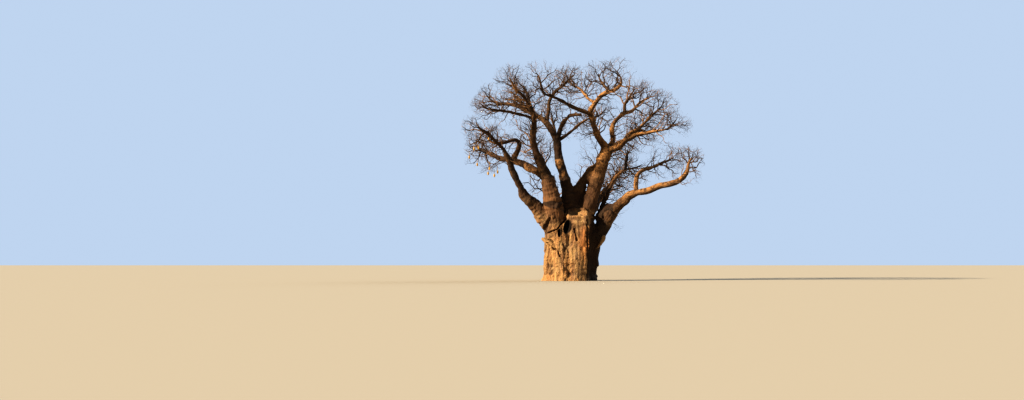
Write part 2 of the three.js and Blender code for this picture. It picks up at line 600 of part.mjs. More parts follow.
const limbs = new Map();
for (const row of LIMBS) {
  const parent = limbs.get(row.parent);
  const start = parent ? parent.pointAt(row.knee) : new THREE.Vector3(...row.start);
  const backward = parent ? parent.directionAt(row.knee).negate() : UP.clone().negate();
  const limb = new Limb(row, start, backward, LIMB_SIDES);
  limbs.set(row.name, limb);
  place(row.name, limb.solid(), limb.solid(PIECE_GAP), LIMB_BARK);
}

const masses = MASSES.map((row, index) => {
  const parent = limbs.get(row.parent);
  const backward = parent.directionAt(parent.lastKnee).negate();
  const stem = new Limb(row, parent.pointAt(parent.lastKnee), backward, STEM_SIDES);
  const space = new Space(stem.pointAt(row.heart), row.reach);
  return { ...row, stem, space, seed: FIRST_SEED + SEED_STEP * index };
});
for (const mass of masses) {
  masses.filter((other) => other !== mass).forEach((other) => mass.space.meet(other.space));
}

const limbCapsules = [...limbs.values()].flatMap((limb) => limb.capsules());
for (const mass of masses) {
  const stems = masses.filter((other) => other !== mass).flatMap((other) => other.stem.capsules());
  const obstacles = [...limbCapsules, ...stems].filter((capsule) => (
    distanceToCapsule(mass.space.centre, capsule) < mass.reach + capsule.radius));
  const laterals = sprout(asParent(mass.stem), 0, mass.seed, mass.space, obstacles);
  const twiglets = laterals.flatMap((twig) => sprout(twig, 1, twig.seed, mass.space, obstacles));
  let solid = mass.stem.solid();
  laterals.forEach((twig) => { solid = solid.add(twig.solid(GROWTH[0].steps)); });
  twiglets.forEach((twig) => { solid = solid.add(twig.solid(GROWTH[1].steps)); });
  for (const { knees } of FRUITS.filter((row) => row.mass === mass.name)) {
    knees.forEach((knee) => { solid = solid.add(fruit(mass.stem.pointAt(knee))); });
  }
  place(mass.name, solid, mass.stem.solid(PIECE_GAP), TWIG_BARK);
}

export default group;
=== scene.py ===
"""A bare baobab tree: its bark, its crooked twigs and its hanging pods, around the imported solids.

X runs to the right, Y away from the viewer and Z up, in metres, with the origin on the ground under
the middle of the trunk. Bearings, climbs and other angles are in degrees.
"""

import logging
import math
from collections.abc import Iterable
from dataclasses import dataclass, field, replace
from enum import Enum, IntEnum
from itertools import product

import bpy
import numpy as np
from mathutils import Matrix, Vector


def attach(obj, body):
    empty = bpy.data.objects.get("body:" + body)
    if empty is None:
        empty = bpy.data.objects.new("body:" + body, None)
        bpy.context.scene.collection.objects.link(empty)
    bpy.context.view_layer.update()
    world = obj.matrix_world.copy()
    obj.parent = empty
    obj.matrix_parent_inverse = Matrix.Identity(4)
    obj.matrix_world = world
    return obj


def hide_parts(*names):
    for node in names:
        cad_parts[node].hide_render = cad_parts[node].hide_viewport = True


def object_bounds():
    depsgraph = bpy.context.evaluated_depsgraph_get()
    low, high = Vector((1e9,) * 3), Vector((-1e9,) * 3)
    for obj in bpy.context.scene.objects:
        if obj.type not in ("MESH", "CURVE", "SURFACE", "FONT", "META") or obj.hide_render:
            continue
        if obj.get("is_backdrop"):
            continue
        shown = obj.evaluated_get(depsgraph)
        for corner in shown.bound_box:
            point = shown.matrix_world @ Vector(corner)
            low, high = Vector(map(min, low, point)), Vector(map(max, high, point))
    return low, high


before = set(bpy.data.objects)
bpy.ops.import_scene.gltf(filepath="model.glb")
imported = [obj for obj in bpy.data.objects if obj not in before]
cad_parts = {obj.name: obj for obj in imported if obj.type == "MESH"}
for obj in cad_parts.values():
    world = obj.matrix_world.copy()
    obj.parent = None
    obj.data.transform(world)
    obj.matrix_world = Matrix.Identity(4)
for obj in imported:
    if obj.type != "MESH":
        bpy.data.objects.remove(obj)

LOG = logging.getLogger("baobab")
Array = np.ndarray
Runs = tuple[tuple[float, float, float, float], ...]
Point = tuple[float, float, float]
Finish = bpy.types.Material
Piece = bpy.types.Object
X, Y, Z = range(3)

BODY = "root"
UP = np.array([0.0, 0.0, 1.0])
COLLAR = 0.8  # how deep a limb is rooted in its parent, as a share of its thickness
BURIED = 0.6  # how far the trunk's stems run below the ground before they are cut
TWIG_CLEARANCE = 0.015  # between a twig and a limb or another mass's stem
SPACE_MARGIN = 0.01  # between a twig and the space of the next mass
EVEN_PLACES = 0.7549  # these two spread any number of twigs evenly along their parent
EVEN_TURNS = 0.5698  # and round it
TWIG_LIFT = 0.1  # how strongly a twig bends up, as a share of its length
TWIG_WANDER = 0.35  # how far it bends aside
LENGTH_SPREAD = (0.7, 1.3)  # how much shorter or longer a twig is than its level's rule
TIP_FILL = 0.97  # how much of the way to the edge of its space a twig may grow
BARK_DEPTH = 0.8  # how far out in a thick limb its own twigs start, as a share of its radius
SHORTEST_SHARE = 0.5  # a twig cut shorter than this share of its length is skipped
FOOT_SHARE = 0.6  # a twig is at most this share as thick as its parent where it leaves
CHECK_SHARES = np.array([0.25, 0.5, 0.75, 1.0])  # the points along a twig that are tested for room
FIRST_SEED = 101
SEED_STEP = 17
SEED_CYCLE = 9973
CHILD_SEEDS = 31  # a twig's seed times this is the first seed of its own twigs
STRETCHES_PER_RUN = 3  # straight stretches that stand for one run of a limb
USUAL_REACH = 1.6  # the reach at which a mass has the usual count of twigs
CROOK = 0.1  # how far a twig swings from side to side, as a share of its length
SWINGS = 1.6  # and how many times
TAPER = 0.7  # how much of its thickness a twig loses by its tip
STEM_RING = 0.12  # the distance between the rings of a mass's stem
STEM_LUMP = 0.07  # how much thicker or thinner the stem is in places, as a share of its radius
STEM_LUMP_LENGTH = 0.16  # and over what distance
BEND = 0.3  # how far a limb wanders off its course, as a share of its radius
BEND_LENGTH = 0.8  # and over what distance
BEND_START = (0.05, 0.3)  # the shares of its course between which the wandering sets in
WIDEST_BEND = 0.25  # the radius past which a limb wanders no further
FEWEST_RINGS = 6
DOME = ((0.3, 0.85), (0.2, 0.5))  # the rise and the shrinking of the rings that close a limb's end
SCATTER = (127.1, 311.7, 43758.5453)  # factors that scatter the seeds of chance
CELL_FACTORS = (73856093, 19349663, 83492791, 2654435)  # and those of the lattice
CELL_MIX = 1274126177
CELL_MASK = 0xFFFFFF
TINY = 1e-9
LIMB_SEEDS = (7, 13)  # factors of a mass's seed and a limb's number, for the limb's own twigs
WEIGHT_STEPS = 400  # how finely the relief's heights are told apart
SHARP_ANGLE = 75.0  # an edge past this angle is not shaded smooth
NOISE_ROUGHNESS = 0.6


@dataclass(frozen=True)
class LimbPlan:
    """One tapering limb. A run is its length, bearing, climb and the thickness at its end."""

    name: str
    thickness: float
    runs: Runs
    start: Point | None = None
    on: str = ""
    knee: float = 0.0


@dataclass(frozen=True)
class MassPlan:
    """A mass of twigs: the stem that goes on from its limb, and the ball round the stem's heart."""

    name: str
    thickness: float
    runs: Runs
    on: str
    heart: float
    reach: float


TRUNK_STEMS: tuple[LimbPlan, ...] = (
    LimbPlan("stem_left", 1.8, ((1.9, 170, 88, 1.7), (2.1, 260, 89, 1.6)), start=(-0.85, -0.45, -BURIED)),
    LimbPlan("stem_middle", 1.6, ((1.9, 180, 88, 1.55), (1.75, 210, 86, 1.2)),
             start=(-0.45, -0.8, -BURIED)),
    LimbPlan("stem_front", 2.1, ((2.2, 20, 88, 1.95), (2.9, 20, 88, 1.5)), start=(0.25, -0.65, -BURIED)),
    LimbPlan("stem_right", 1.55, ((1.9, 0, 83, 1.5), (1.9, 0, 77, 1.35)), start=(0.95, 0.3, -BURIED)),
    LimbPlan("stem_back", 2.4, ((2.4, 20, 88, 2.1), (2.5, 20, 88, 1.7)), start=(-0.15, 0.8, -BURIED)),
    LimbPlan("stem_heart", 1.5, ((3.2, 90, 88, 1.4), (2.8, 170, 87, 0.7)), start=(-0.4, 0.1, -BURIED)),
)
BRACE = LimbPlan("brace", 1.1, ((1.95, 45, 75, 0.86), (1.2, 355, 65, 0.58), (1.35, 340, 40, 0.4)),
                 start=(0.2, 0.0, 4.0))
LIMBS: tuple[LimbPlan, ...] = (
    LimbPlan("left_stem", 1.5, ((2.05, 230, 85, 1.36), (1.8, 210, 80, 1.26), (1.85, 200, 80, 0.9)),
        start=(-0.8, -0.4, 1.2)),
    LimbPlan("low_left_bough", 1.3, ((2.4, 190, 60, 0.98), (1.4, 200, 45, 0.66), (1.4, 205, 55, 0.5),
        (0.95, 225, 60, 0.44), (1.05, 225, 60, 0.3), (0.75, 225, 40, 0.3), (1.1, 215, 35, 0.26)),
        start=(-0.8, -0.3, 2.5)),
    LimbPlan("left_bough", 0.7, ((1.6, 160, 35, 0.6), (1.4, 150, 20, 0.5), (1.15, 155, 15, 0.4),
        (1.1, 150, 25, 0.32)), on="left_stem", knee=2.9),
    LimbPlan("left_elbow", 0.34, ((0.8, 320, 55, 0.33), (0.55, 300, 65, 0.32), (0.5, 225, 20, 0.27),
        (0.85, 210, -15, 0.24), (0.6, 205, -5, 0.2)), on="left_bough", knee=2),
    LimbPlan("upper_left_bough", 0.8, ((1.35, 215, 55, 0.68), (1.25, 230, 60, 0.56), (0.9, 275, 70, 0.46),
        (0.85, 285, 80, 0.42)), on="left_stem", knee=3),
    LimbPlan("crown_left_branch", 0.3, ((0.7, 240, 45, 0.26), (0.85, 225, 50, 0.22),
        (0.8, 215, 35, 0.18)), on="upper_left_bough", knee=4),
    LimbPlan("left_arm_low", 0.22, ((1.05, 205, 15, 0.2), (0.7, 205, 10, 0.18), (0.8, 205, 5, 0.17),
        (0.6, 210, 0, 0.15)), on="upper_left_bough", knee=3.8),
    LimbPlan("left_arm_high", 0.28, ((1.3, 145, 35, 0.25), (0.95, 155, 15, 0.24), (0.7, 155, 5, 0.2)),
        on="upper_left_bough", knee=4),
    LimbPlan("centre_bough", 1.15, ((1.8, 180, 85, 0.88), (1.4, 150, 75, 0.62), (1.15, 145, 70, 0.6),
        (1.3, 115, 75, 0.56)), start=(0.1, 0.2, 3.9)),
    LimbPlan("centre_left_branch", 0.48, ((1.05, 135, 60, 0.42), (0.75, 140, 50, 0.4),
        (0.8, 140, 35, 0.36), (0.85, 150, 30, 0.32)), on="centre_bough", knee=4),
    LimbPlan("centre_top_branch", 0.28, ((1.1, 85, 55, 0.26), (0.8, 70, 70, 0.24), (0.85, 40, 55, 0.22),
        (0.75, 30, 40, 0.2)), on="centre_left_branch", knee=1.7),
    LimbPlan("centre_hook", 0.28, ((1.05, 310, 65, 0.27), (0.85, 300, 40, 0.26), (0.9, 295, 10, 0.24),
        (0.85, 305, -5, 0.2)), on="centre_bough", knee=4),
    LimbPlan("centre_dark_branch", 0.26, ((1.0, 40, 30, 0.24), (0.9, 45, 35, 0.2), (1.45, 45, 30, 0.16),
        (0.65, 45, 20, 0.14)), on="centre_bough", knee=4),
    LimbPlan("right_bough", 1.35, ((1.7, 340, 80, 1.06), (1.45, 0, 70, 0.94), (1.35, 345, 70, 0.86),
        (1.3, 350, 75, 0.84)), start=(0.9, 0.1, 3.2)),
    LimbPlan("top_bough", 0.6, ((0.85, 215, 50, 0.5), (1.0, 225, 55, 0.42), (1.05, 230, 60, 0.36)),
        on="right_bough", knee=4),
    LimbPlan("top_right_branch", 0.32, ((0.65, 330, 55, 0.31), (0.65, 325, 50, 0.29),
        (0.6, 340, 25, 0.26)), on="top_bough", knee=3),
    LimbPlan("top_inner_branch", 0.22, ((0.9, 130, 35, 0.2), (0.8, 120, 40, 0.19), (0.75, 130, 30, 0.16)),
        on="top_right_branch", knee=1),
    LimbPlan("top_left_branch", 0.26, ((1.45, 220, 15, 0.24), (0.95, 220, 15, 0.22), (1.0, 220, 15, 0.2),
        (0.8, 215, 10, 0.17)), on="top_bough", knee=2.8),
    LimbPlan("mid_right_branch", 0.4, ((0.9, 40, 45, 0.36), (0.9, 95, 65, 0.35), (0.95, 55, 50, 0.33),
        (0.95, 40, 35, 0.3)), on="right_bough", knee=4),
    LimbPlan("shoulder_bough", 0.6, ((1.0, 335, 20, 0.5), (0.85, 315, 30, 0.4), (1.0, 320, 15, 0.26),
        (1.0, 325, 5, 0.2), (1.05, 325, 5, 0.16)), on="right_bough", knee=3.9),
    LimbPlan("shoulder_branch", 0.3, ((0.95, 15, 50, 0.27), (0.9, 30, 30, 0.24), (0.55, 30, 40, 0.22),
        (0.7, 35, 40, 0.18)), on="shoulder_bough", knee=1.2),
    LimbPlan("low_right_bough", 1.35, ((1.55, 0, 60, 1.06), (1.05, 350, 60, 0.9), (0.95, 340, 50, 0.72),
        (0.85, 345, 40, 0.62), (0.7, 340, 25, 0.54)), start=(1.3, 0.2, 2.0)),
    LimbPlan("low_right_arm", 0.46, ((0.85, 330, 10, 0.42), (0.9, 335, 20, 0.42), (0.8, 325, 10, 0.42),
        (0.7, 335, 20, 0.36), (0.65, 320, 40, 0.26)), on="low_right_bough", knee=5),
    LimbPlan("low_right_twist", 0.3, ((0.7, 85, 65, 0.26), (0.7, 60, 60, 0.25), (0.7, 45, 35, 0.24),
        (0.85, 35, 15, 0.22), (0.9, 40, 20, 0.18)), on="low_right_bough", knee=5),
    LimbPlan("right_riser", 0.55, ((2.05, 65, 70, 0.46), (1.05, 50, 55, 0.36), (1.1, 50, 55, 0.3),
        (1.3, 35, 35, 0.26)), on="low_right_bough", knee=0.9),
    LimbPlan("back_left_bough", 1.0, ((2.4, 115, 65, 0.74), (2.1, 110, 55, 0.56), (1.9, 120, 55, 0.4)),
        start=(-0.5, 0.9, 3.0)),
    LimbPlan("back_middle_bough", 0.95, ((2.1, 85, 65, 0.7), (2.1, 110, 55, 0.52), (1.6, 100, 50, 0.4)),
        start=(0, 1.2, 3.6)),
    LimbPlan("back_right_bough", 1.0, ((2.25, 70, 65, 0.78), (1.85, 60, 60, 0.6), (1.85, 60, 50, 0.48),
        (1.6, 65, 55, 0.4)), start=(1.1, 1.0, 2.9)),
    LimbPlan("back_right_branch", 0.34, ((1.2, 35, 25, 0.3), (1.15, 35, 25, 0.24)),
        on="back_right_bough", knee=4),
    LimbPlan("low_back_bough", 1.1, ((2.55, 70, 50, 0.84), (2.1, 60, 40, 0.66), (1.7, 60, 30, 0.52),
        (1.6, 60, 30, 0.38)), start=(0.5, 1.3, 1.9)),
)
MASSES: tuple[MassPlan, ...] = (
    MassPlan("low_left_twigs", 0.24, ((0.6, 225, 20, 0.16), (0.6, 200, 50, 0.05)),
        on="low_left_bough", heart=0.8, reach=1.5),
    MassPlan("left_twigs", 0.28, ((0.7, 140, 20, 0.18), (0.6, 125, 40, 0.05)),
        on="left_bough", heart=0.8, reach=1.5),
    MassPlan("left_hanging_twigs", 0.16, ((0.6, 285, -60, 0.11), (0.6, 320, -55, 0.04)),
        on="left_bough", heart=1.2, reach=1.2),
    MassPlan("elbow_twigs", 0.18, ((0.45, 195, 15, 0.13), (0.5, 150, 55, 0.04)),
        on="left_elbow", heart=0.7, reach=1.3),
    MassPlan("left_arm_low_twigs", 0.14, ((0.5, 215, 15, 0.1), (0.5, 225, 30, 0.04)),
        on="left_arm_low", heart=0.5, reach=1.4),
    MassPlan("left_arm_high_twigs", 0.18, ((0.75, 155, 30, 0.12), (0.5, 140, 50, 0.04)),
        on="left_arm_high", heart=0.6, reach=1.4),
    MassPlan("upper_left_twigs", 0.34, ((0.95, 145, 70, 0.24), (0.8, 135, 70, 0.16),
        (0.6, 140, 65, 0.05)), on="upper_left_bough", heart=2.3, reach=1.65),
    MassPlan("crown_left_twigs", 0.17, ((0.6, 230, 45, 0.12), (0.5, 230, 50, 0.04)),
        on="crown_left_branch", heart=0.9, reach=1.45),
    MassPlan("centre_left_twigs", 0.3, ((1.15, 150, 45, 0.2), (1.0, 140, 45, 0.05)),
        on="centre_left_branch", heart=1.4, reach=1.65),
    MassPlan("centre_top_twigs", 0.19, ((0.8, 20, 40, 0.14), (0.6, 40, 50, 0.05)),
        on="centre_top_branch", heart=0.8, reach=1.5),
    MassPlan("centre_dark_twigs", 0.14, ((1.2, 45, 20, 0.11), (0.9, 50, 40, 0.04)),
        on="centre_dark_branch", heart=1.2, reach=1.45),
    MassPlan("top_loop_twigs", 0.25, ((0.55, 315, 5, 0.23), (0.7, 315, 35, 0.2), (0.6, 230, 65, 0.13),
        (0.5, 205, 40, 0.05)), on="top_right_branch", heart=2.5, reach=1.6),
    MassPlan("top_twigs", 0.2, ((0.95, 105, 35, 0.17), (0.6, 135, 50, 0.12), (0.5, 105, 65, 0.05)),
        on="top_right_branch", heart=2, reach=1.45),
    MassPlan("top_inner_twigs", 0.15, ((0.7, 140, 40, 0.11), (0.5, 120, 60, 0.04)),
        on="top_inner_branch", heart=0.8, reach=1.35),
    MassPlan("top_left_twigs", 0.16, ((0.6, 230, 60, 0.14), (0.55, 235, 65, 0.11), (0.4, 215, 50, 0.04)),
        on="top_left_branch", heart=1.6, reach=1.5),
    MassPlan("mid_right_twigs", 0.28, ((0.85, 45, 15, 0.24), (1.2, 50, 35, 0.17), (1.0, 35, 30, 0.05)),
        on="mid_right_branch", heart=2.2, reach=1.75),
    MassPlan("mid_top_twigs", 0.25, ((0.65, 275, 70, 0.2), (0.65, 320, 50, 0.15), (0.7, 325, 50, 0.05)),
        on="mid_right_branch", heart=2.3, reach=1.5),
    MassPlan("shoulder_tip_twigs", 0.15, ((0.5, 315, 35, 0.11), (0.6, 300, 35, 0.04)),
        on="shoulder_bough", heart=0.8, reach=1.5),
    MassPlan("shoulder_twigs", 0.17, ((0.8, 20, 40, 0.13), (0.6, 25, 45, 0.04)),
        on="shoulder_branch", heart=1.1, reach=1.6),
    MassPlan("low_right_twigs", 0.24, ((0.7, 300, 70, 0.17), (0.45, 320, 50, 0.05)),
        on="low_right_arm", heart=0.7, reach=1.5),
    MassPlan("twist_twigs", 0.17, ((0.85, 35, 20, 0.12), (0.7, 45, 25, 0.04)),
        on="low_right_twist", heart=0.7, reach=1.6),
    MassPlan("riser_twigs", 0.23, ((1.0, 75, 60, 0.16), (0.8, 70, 55, 0.05)),
        on="right_riser", heart=1, reach=1.6),
    MassPlan("riser_side_twigs", 0.16, ((1.0, 40, 10, 0.11), (0.9, 40, 20, 0.04)),
        on="right_riser", heart=0.9, reach=1.5),
    MassPlan("back_left_twigs", 0.38, ((1.65, 120, 50, 0.22), (1.3, 105, 55, 0.05)),
        on="back_left_bough", heart=1.2, reach=2.3),
    MassPlan("back_middle_twigs", 0.38, ((1.6, 100, 60, 0.26), (1.5, 105, 60, 0.16),
        (1.2, 110, 60, 0.05)), on="back_middle_bough", heart=2.3, reach=2.1),
    MassPlan("back_right_twigs", 0.23, ((1.25, 35, 35, 0.16), (1.25, 35, 45, 0.05)),
        on="back_right_branch", heart=1, reach=2.2),
    MassPlan("back_top_twigs", 0.32, ((1.1, 120, 50, 0.26), (1.5, 115, 50, 0.16), (1.3, 100, 60, 0.05)),
        on="back_right_bough", heart=2.2, reach=2.2),
    MassPlan("low_back_twigs", 0.36, ((1.25, 55, 35, 0.2), (1.0, 65, 45, 0.05)),
        on="low_back_bough", heart=0.9, reach=2.1),
)


class Slot(Enum):
    """The record's material slots."""

    TRUNK = "trunk_bark"
    LIMB = "limb_bark"
    TWIGS = "twigs"


class Part(Enum):
    """The pieces that the skin of bark is parted into, from the ground up."""

    FOOT = "trunk_foot"
    FORK = "trunk_fork"
    LEFT = "left_boughs"
    CENTRE = "centre_boughs"
    RIGHT = "right_boughs"
    LOW_RIGHT = "low_right_boughs"
    BACK = "back_boughs"


class Draw(IntEnum):
    """What each draw of chance decides."""

    ASIDE = 1
    BACK = 2
    LIFT = 3
    PLACE = 4
    TURN = 5
    PACE = 6
    SWING = 7
    SWAY = 8
    TONE = 9


class Grain(IntEnum):
    """Which noise each form is read from. PIT, BEND and RAGGED take the next few numbers too."""

    SWELL = 1
    FLUTE = 2
    FURROW = 3
    FIBRE = 4
    WRINKLE = 5
    KNOB = 6
    BUMP = 7
    PIT = 11
    STEM = 31
    BEND = 51
    SPLIT = 61
    SPLIT_WIDTH = 62
    RAGGED = 63


PARTS = list(Part)
# Where each bough that springs from the trunk stands free of it, as a knee, and whose piece it is.
FREE_KNEES: dict[str, tuple[float, Part]] = {
    "left_stem": (2.3, Part.LEFT),
    "low_left_bough": (1.2, Part.LEFT),
    "centre_bough": (2.0, Part.CENTRE),
    "right_bough": (2.3, Part.RIGHT),
    "brace": (2.0, Part.RIGHT),
    "low_right_bough": (1.8, Part.LOW_RIGHT),
    "right_riser": (0.6, Part.LOW_RIGHT),
    "back_left_bough": (1.1, Part.BACK),
    "back_middle_bough": (1.0, Part.BACK),
    "back_right_bough": (1.2, Part.BACK),
    "low_back_bough": (1.0, Part.BACK),
}
FOOT_HEIGHT = 2.5  # the trunk's skin is parted level here


def unit(vectors: Array) -> Array:
    """Vectors scaled to length one."""
    return vectors / np.linalg.norm(vectors, axis=-1, keepdims=True)


def smoothstep(low: float, high: float, values: Array) -> Array:
    """A soft step from 0 below low to 1 above high."""
    share = np.clip((values - low) / (high - low), 0.0, 1.0)
    return share * share * (3.0 - 2.0 * share)


@dataclass(frozen=True)
class Ramp:
    """A soft rise from 0 at its start to 1 at its end, which may also lie lower."""

    start: float
    end: float

    def __call__(self, values: Array) -> Array:
        """How far up the rise each value lies."""
        return smoothstep(self.start, self.end, values)


@dataclass(frozen=True)
class Zone:
    """A part of the tree with soft edges. Each is an axis and where along it the edge lies."""

    edges: tuple[tuple[int, float, float], ...]

    def __call__(self, points: Array) -> Array:
        """From 0 outside the zone to 1 inside."""
        return math.prod(smoothstep(start, end, points[:, axis]) for axis, start, end in self.edges)


def at_least(least: float, share: Array) -> Array:
    """A share of 0 to 1, raised to lie between a least value and 1."""
    return least + (1.0 - least) * share


def chance(seed: Array, draw: int) -> Array:
    """A repeatable number from 0 to 1 for each seed, by the number of the draw."""
    value = np.sin(np.asarray(seed, float) * SCATTER[0] + draw * SCATTER[1]) * SCATTER[2]
    return value - np.floor(value)


def lattice(cells: Array, seed: int) -> Array:
    """A repeatable number from -1 to 1 for each cell of a cubic lattice."""
    x, y, z = (cells[:, axis].astype(np.int64) * CELL_FACTORS[axis] for axis in range(3))
    mixed = x ^ y ^ z ^ (seed * CELL_FACTORS[3])
    mixed = (mixed ^ (mixed >> 13)) * CELL_MIX & CELL_MASK
    return mixed / float(CELL_MASK >> 1) - 1.0


def noise(points: Array, seed: int) -> Array:
    """Smooth repeatable noise.

    Args:
        points: Points, in wavelengths.
        seed: Which noise to read.

    Returns:
        A value from -1 to 1 at each point.
    """
    cells = np.floor(points)
    local = points - cells
    local = local * local * (3.0 - 2.0 * local)
    total = np.zeros(len(points))
    for corner in product((0, 1), repeat=3):
        weight = np.prod(np.where(corner, local, 1.0 - local), axis=1)
        total += weight * lattice(cells + corner, seed)
    return total


def wander(points: Array, seed: int) -> Array:
    """Three noises side by side, which move each point its own way."""
    return np.stack([noise(points, seed + axis) for axis in range(3)], axis=1)


def pits(points: Array, seed: int, share: float, jitter: float = 0.35,
         wall: Ramp = Ramp(0.12, 0.5)) -> Array:
    """Round hollows scattered over a lattice.

    Args:
        points: Points, in spacings of the lattice.
        seed: Which scatter to read.
        share: The share of the lattice's cells that hold one.
        jitter: How far its middle lies from the cell's middle.
        wall: How far from its middle its wall rises.

    Returns:
        How deep in a hollow each point lies, from 0 outside to 1 at its middle.
    """
    cells = np.floor(points)
    depth = np.zeros(len(points))
    for corner in product((-1, 0, 1), repeat=3):
        cell = cells + corner
        aside = [jitter * lattice(cell, seed + axis) for axis in (1, 2, 3)]
        middle = cell + 0.5 + np.stack(aside, axis=1)
        distance = np.linalg.norm(points - middle, axis=1)
        present = lattice(cell, seed) < 2.0 * share - 1.0
        depth = np.maximum(depth, present * (1.0 - wall(distance)))
    return depth


@dataclass
class Course:
    """The smooth curve through a limb's knees, and its radius at each.

    Knee 0 is where the limb leaves its parent. One point before that lies back inside the parent.
    """

    points: Array
    radii: Array

    @classmethod
    def grown(cls, plan: LimbPlan | MassPlan, start: Array, backward: Array) -> "Course":
        """Lays out a plan's runs.

        Args:
            plan: The limb or the mass whose stem is laid out.
            start: Where it leaves its parent.
            backward: The unit direction back into the parent.

        Returns:
            The course through its knees.
        """
        points = [start + COLLAR * plan.thickness * backward, start]
        radii = [plan.thickness / 2] * 2
        for length, bearing, climb, thickness in plan.runs:
            turn, rise = math.radians(bearing), math.radians(climb)
            level = length * math.cos(rise)
            step = np.array([level * math.cos(turn), level * math.sin(turn), length * math.sin(rise)])
            points.append(points[-1] + step)
            radii.append(thickness / 2)
        return cls(np.array(points), np.array(radii))

    @property
    def last_knee(self) -> int:
        """The knee at the tip."""
        return len(self.points) - 2

    def share(self, knee: Array | float) -> Array | float:
        """The share of the way along the curve at which a knee lies."""
        return (knee + 1) / (len(self.points) - 1)

    def at(self, share: Array) -> Array:
        """Points on the curve, a centripetal spline.

        Args:
            share: Shares of the way along the curve.

        Returns:
            A point for each share.
        """
        last = len(self.points) - 1
        place = np.clip(np.asarray(share, float), 0.0, 1.0) * last
        first = np.minimum(place.astype(int), last - 1)
        weight = (place - first)[..., None]
        ends = (2 * self.points[0] - self.points[1], 2 * self.points[-1] - self.points[-2])
        padded = np.vstack([ends[0], self.points, ends[1]])
        a, b, c, d = (padded[first + k] for k in range(4))
        before, here, after = (np.sqrt(np.linalg.norm(q - p, axis=-1, keepdims=True))
                               for p, q in ((a, b), (b, c), (c, d)))
        leave = ((b - a) / before - (c - a) / (before + here) + (c - b) / here) * here
        enter = ((c - b) / here - (d - b) / (here + after) + (d - c) / after) * here
        cubic = 2 * (b - c) + leave + enter
        square = 3 * (c - b) - 2 * leave - enter
        return b + weight * (leave + weight * (square + weight * cubic))

    def heading(self, share: Array) -> Array:
        """Unit directions of the curve."""
        share = np.asarray(share, float)
        return unit(self.at(share + 1e-4) - self.at(share - 1e-4))

    def radius(self, share: Array) -> Array:
        """The limb's radius at shares of the way along it."""
        last = len(self.radii) - 1
        return np.interp(np.asarray(share, float) * last, np.arange(last + 1), self.radii)

    def length(self) -> float:
        """The curve's length."""
        points = self.at(np.linspace(0.0, 1.0, 201))
        return float(np.linalg.norm(np.diff(points, axis=0), axis=1).sum())

    def capsules(self) -> Array:
        """Short straight stretches, as rows of two ends and a radius, for testing what is near."""
        shares = np.linspace(0.0, 1.0, STRETCHES_PER_RUN * (len(self.points) - 1) + 1)
        points, radii = self.at(shares), self.radius(shares)
        return np.hstack([points[:-1], points[1:], np.maximum(radii[:-1], radii[1:])[:, None]])


def sideways(heading: Array) -> Array:
    """Level unit directions square to headings, or X for one that is almost upright."""
    side = np.cross(heading, UP)
    upright = np.linalg.norm(side, axis=-1, keepdims=True) < 0.05
    return unit(np.where(upright, np.array([1.0, 0.0, 0.0]), side))


@dataclass
class Twigs:
    """Many twigs at once, one in each row. A twig leaves its parent straight and bends to its tip."""

    start: Array
    heading: Array
    length: Array
    thickness: Array
    seed: Array

    def __post_init__(self) -> None:
        """Works out which way each twig bends."""
        draws = (Draw.ASIDE, Draw.BACK, Draw.LIFT)
        aside = np.stack([chance(self.seed, draw) - 0.5 for draw in draws], axis=-1)
        self.pull = aside * TWIG_WANDER + UP * TWIG_LIFT
        self.side = sideways(self.heading)
        self.over = unit(np.cross(self.side, self.heading))

    def __len__(self) -> int:
        """The number of twigs."""
        return len(self.seed)

    def at(self, share: Array) -> Array:
        """Points on the twigs.

        Args:
            share: Shares of the way along, with one row for each twig.

        Returns:
            A point for each share.
        """
        share = share[..., None]
        reach = self.length[:, None, None] * share
        point = self.start[:, None] + reach * self.heading[:, None] + reach * share * self.pull[:, None]
        swings = []
        for draw in (Draw.SWING, Draw.SWAY):
            phase = chance(self.seed, draw)[:, None, None]
            swings.append(np.sin(math.tau * (SWINGS * share + phase)) - np.sin(math.tau * phase))
        aside = swings[0] * self.side[:, None] + swings[1] * self.over[:, None]
        return point + CROOK * reach * aside

    def directions(self, share: Array) -> Array:
        """Unit directions of the twigs at the same places."""
        return unit(self.at(share + 1e-3) - self.at(share - 1e-3))

    def radius(self, share: Array) -> Array:
        """The twigs' radii at the same places."""
        return self.thickness[:, None] / 2 * (1.0 - TAPER * share)

    def pick(self, keep: Array) -> "Twigs":
        """The twigs whose rows are marked."""
        return Twigs(self.start[keep], self.heading[keep], self.length[keep], self.thickness[keep],
                     self.seed[keep])


@dataclass
class Stem:
    """A mass's stem, or a limb, seen as a single row of parents for twigs."""

    course: Course

    def _share(self, place: Array) -> Array:
        """Places from 0 at knee 0 to 1 at the tip, as shares of the curve."""
        return self.course.share(place * self.course.last_knee)

    @property
    def length(self) -> Array:
        """The stem's length, as one row."""
        return np.array([self.course.length()])

    def at(self, place: Array) -> Array:
        """Points on the stem."""
        return self.course.at(self._share(place))

    def directions(self, place: Array) -> Array:
        """Unit directions of the stem."""
        return self.course.heading(self._share(place))

    def radius(self, place: Array) -> Array:
        """The stem's radii."""
        return self.course.radius(self._share(place))


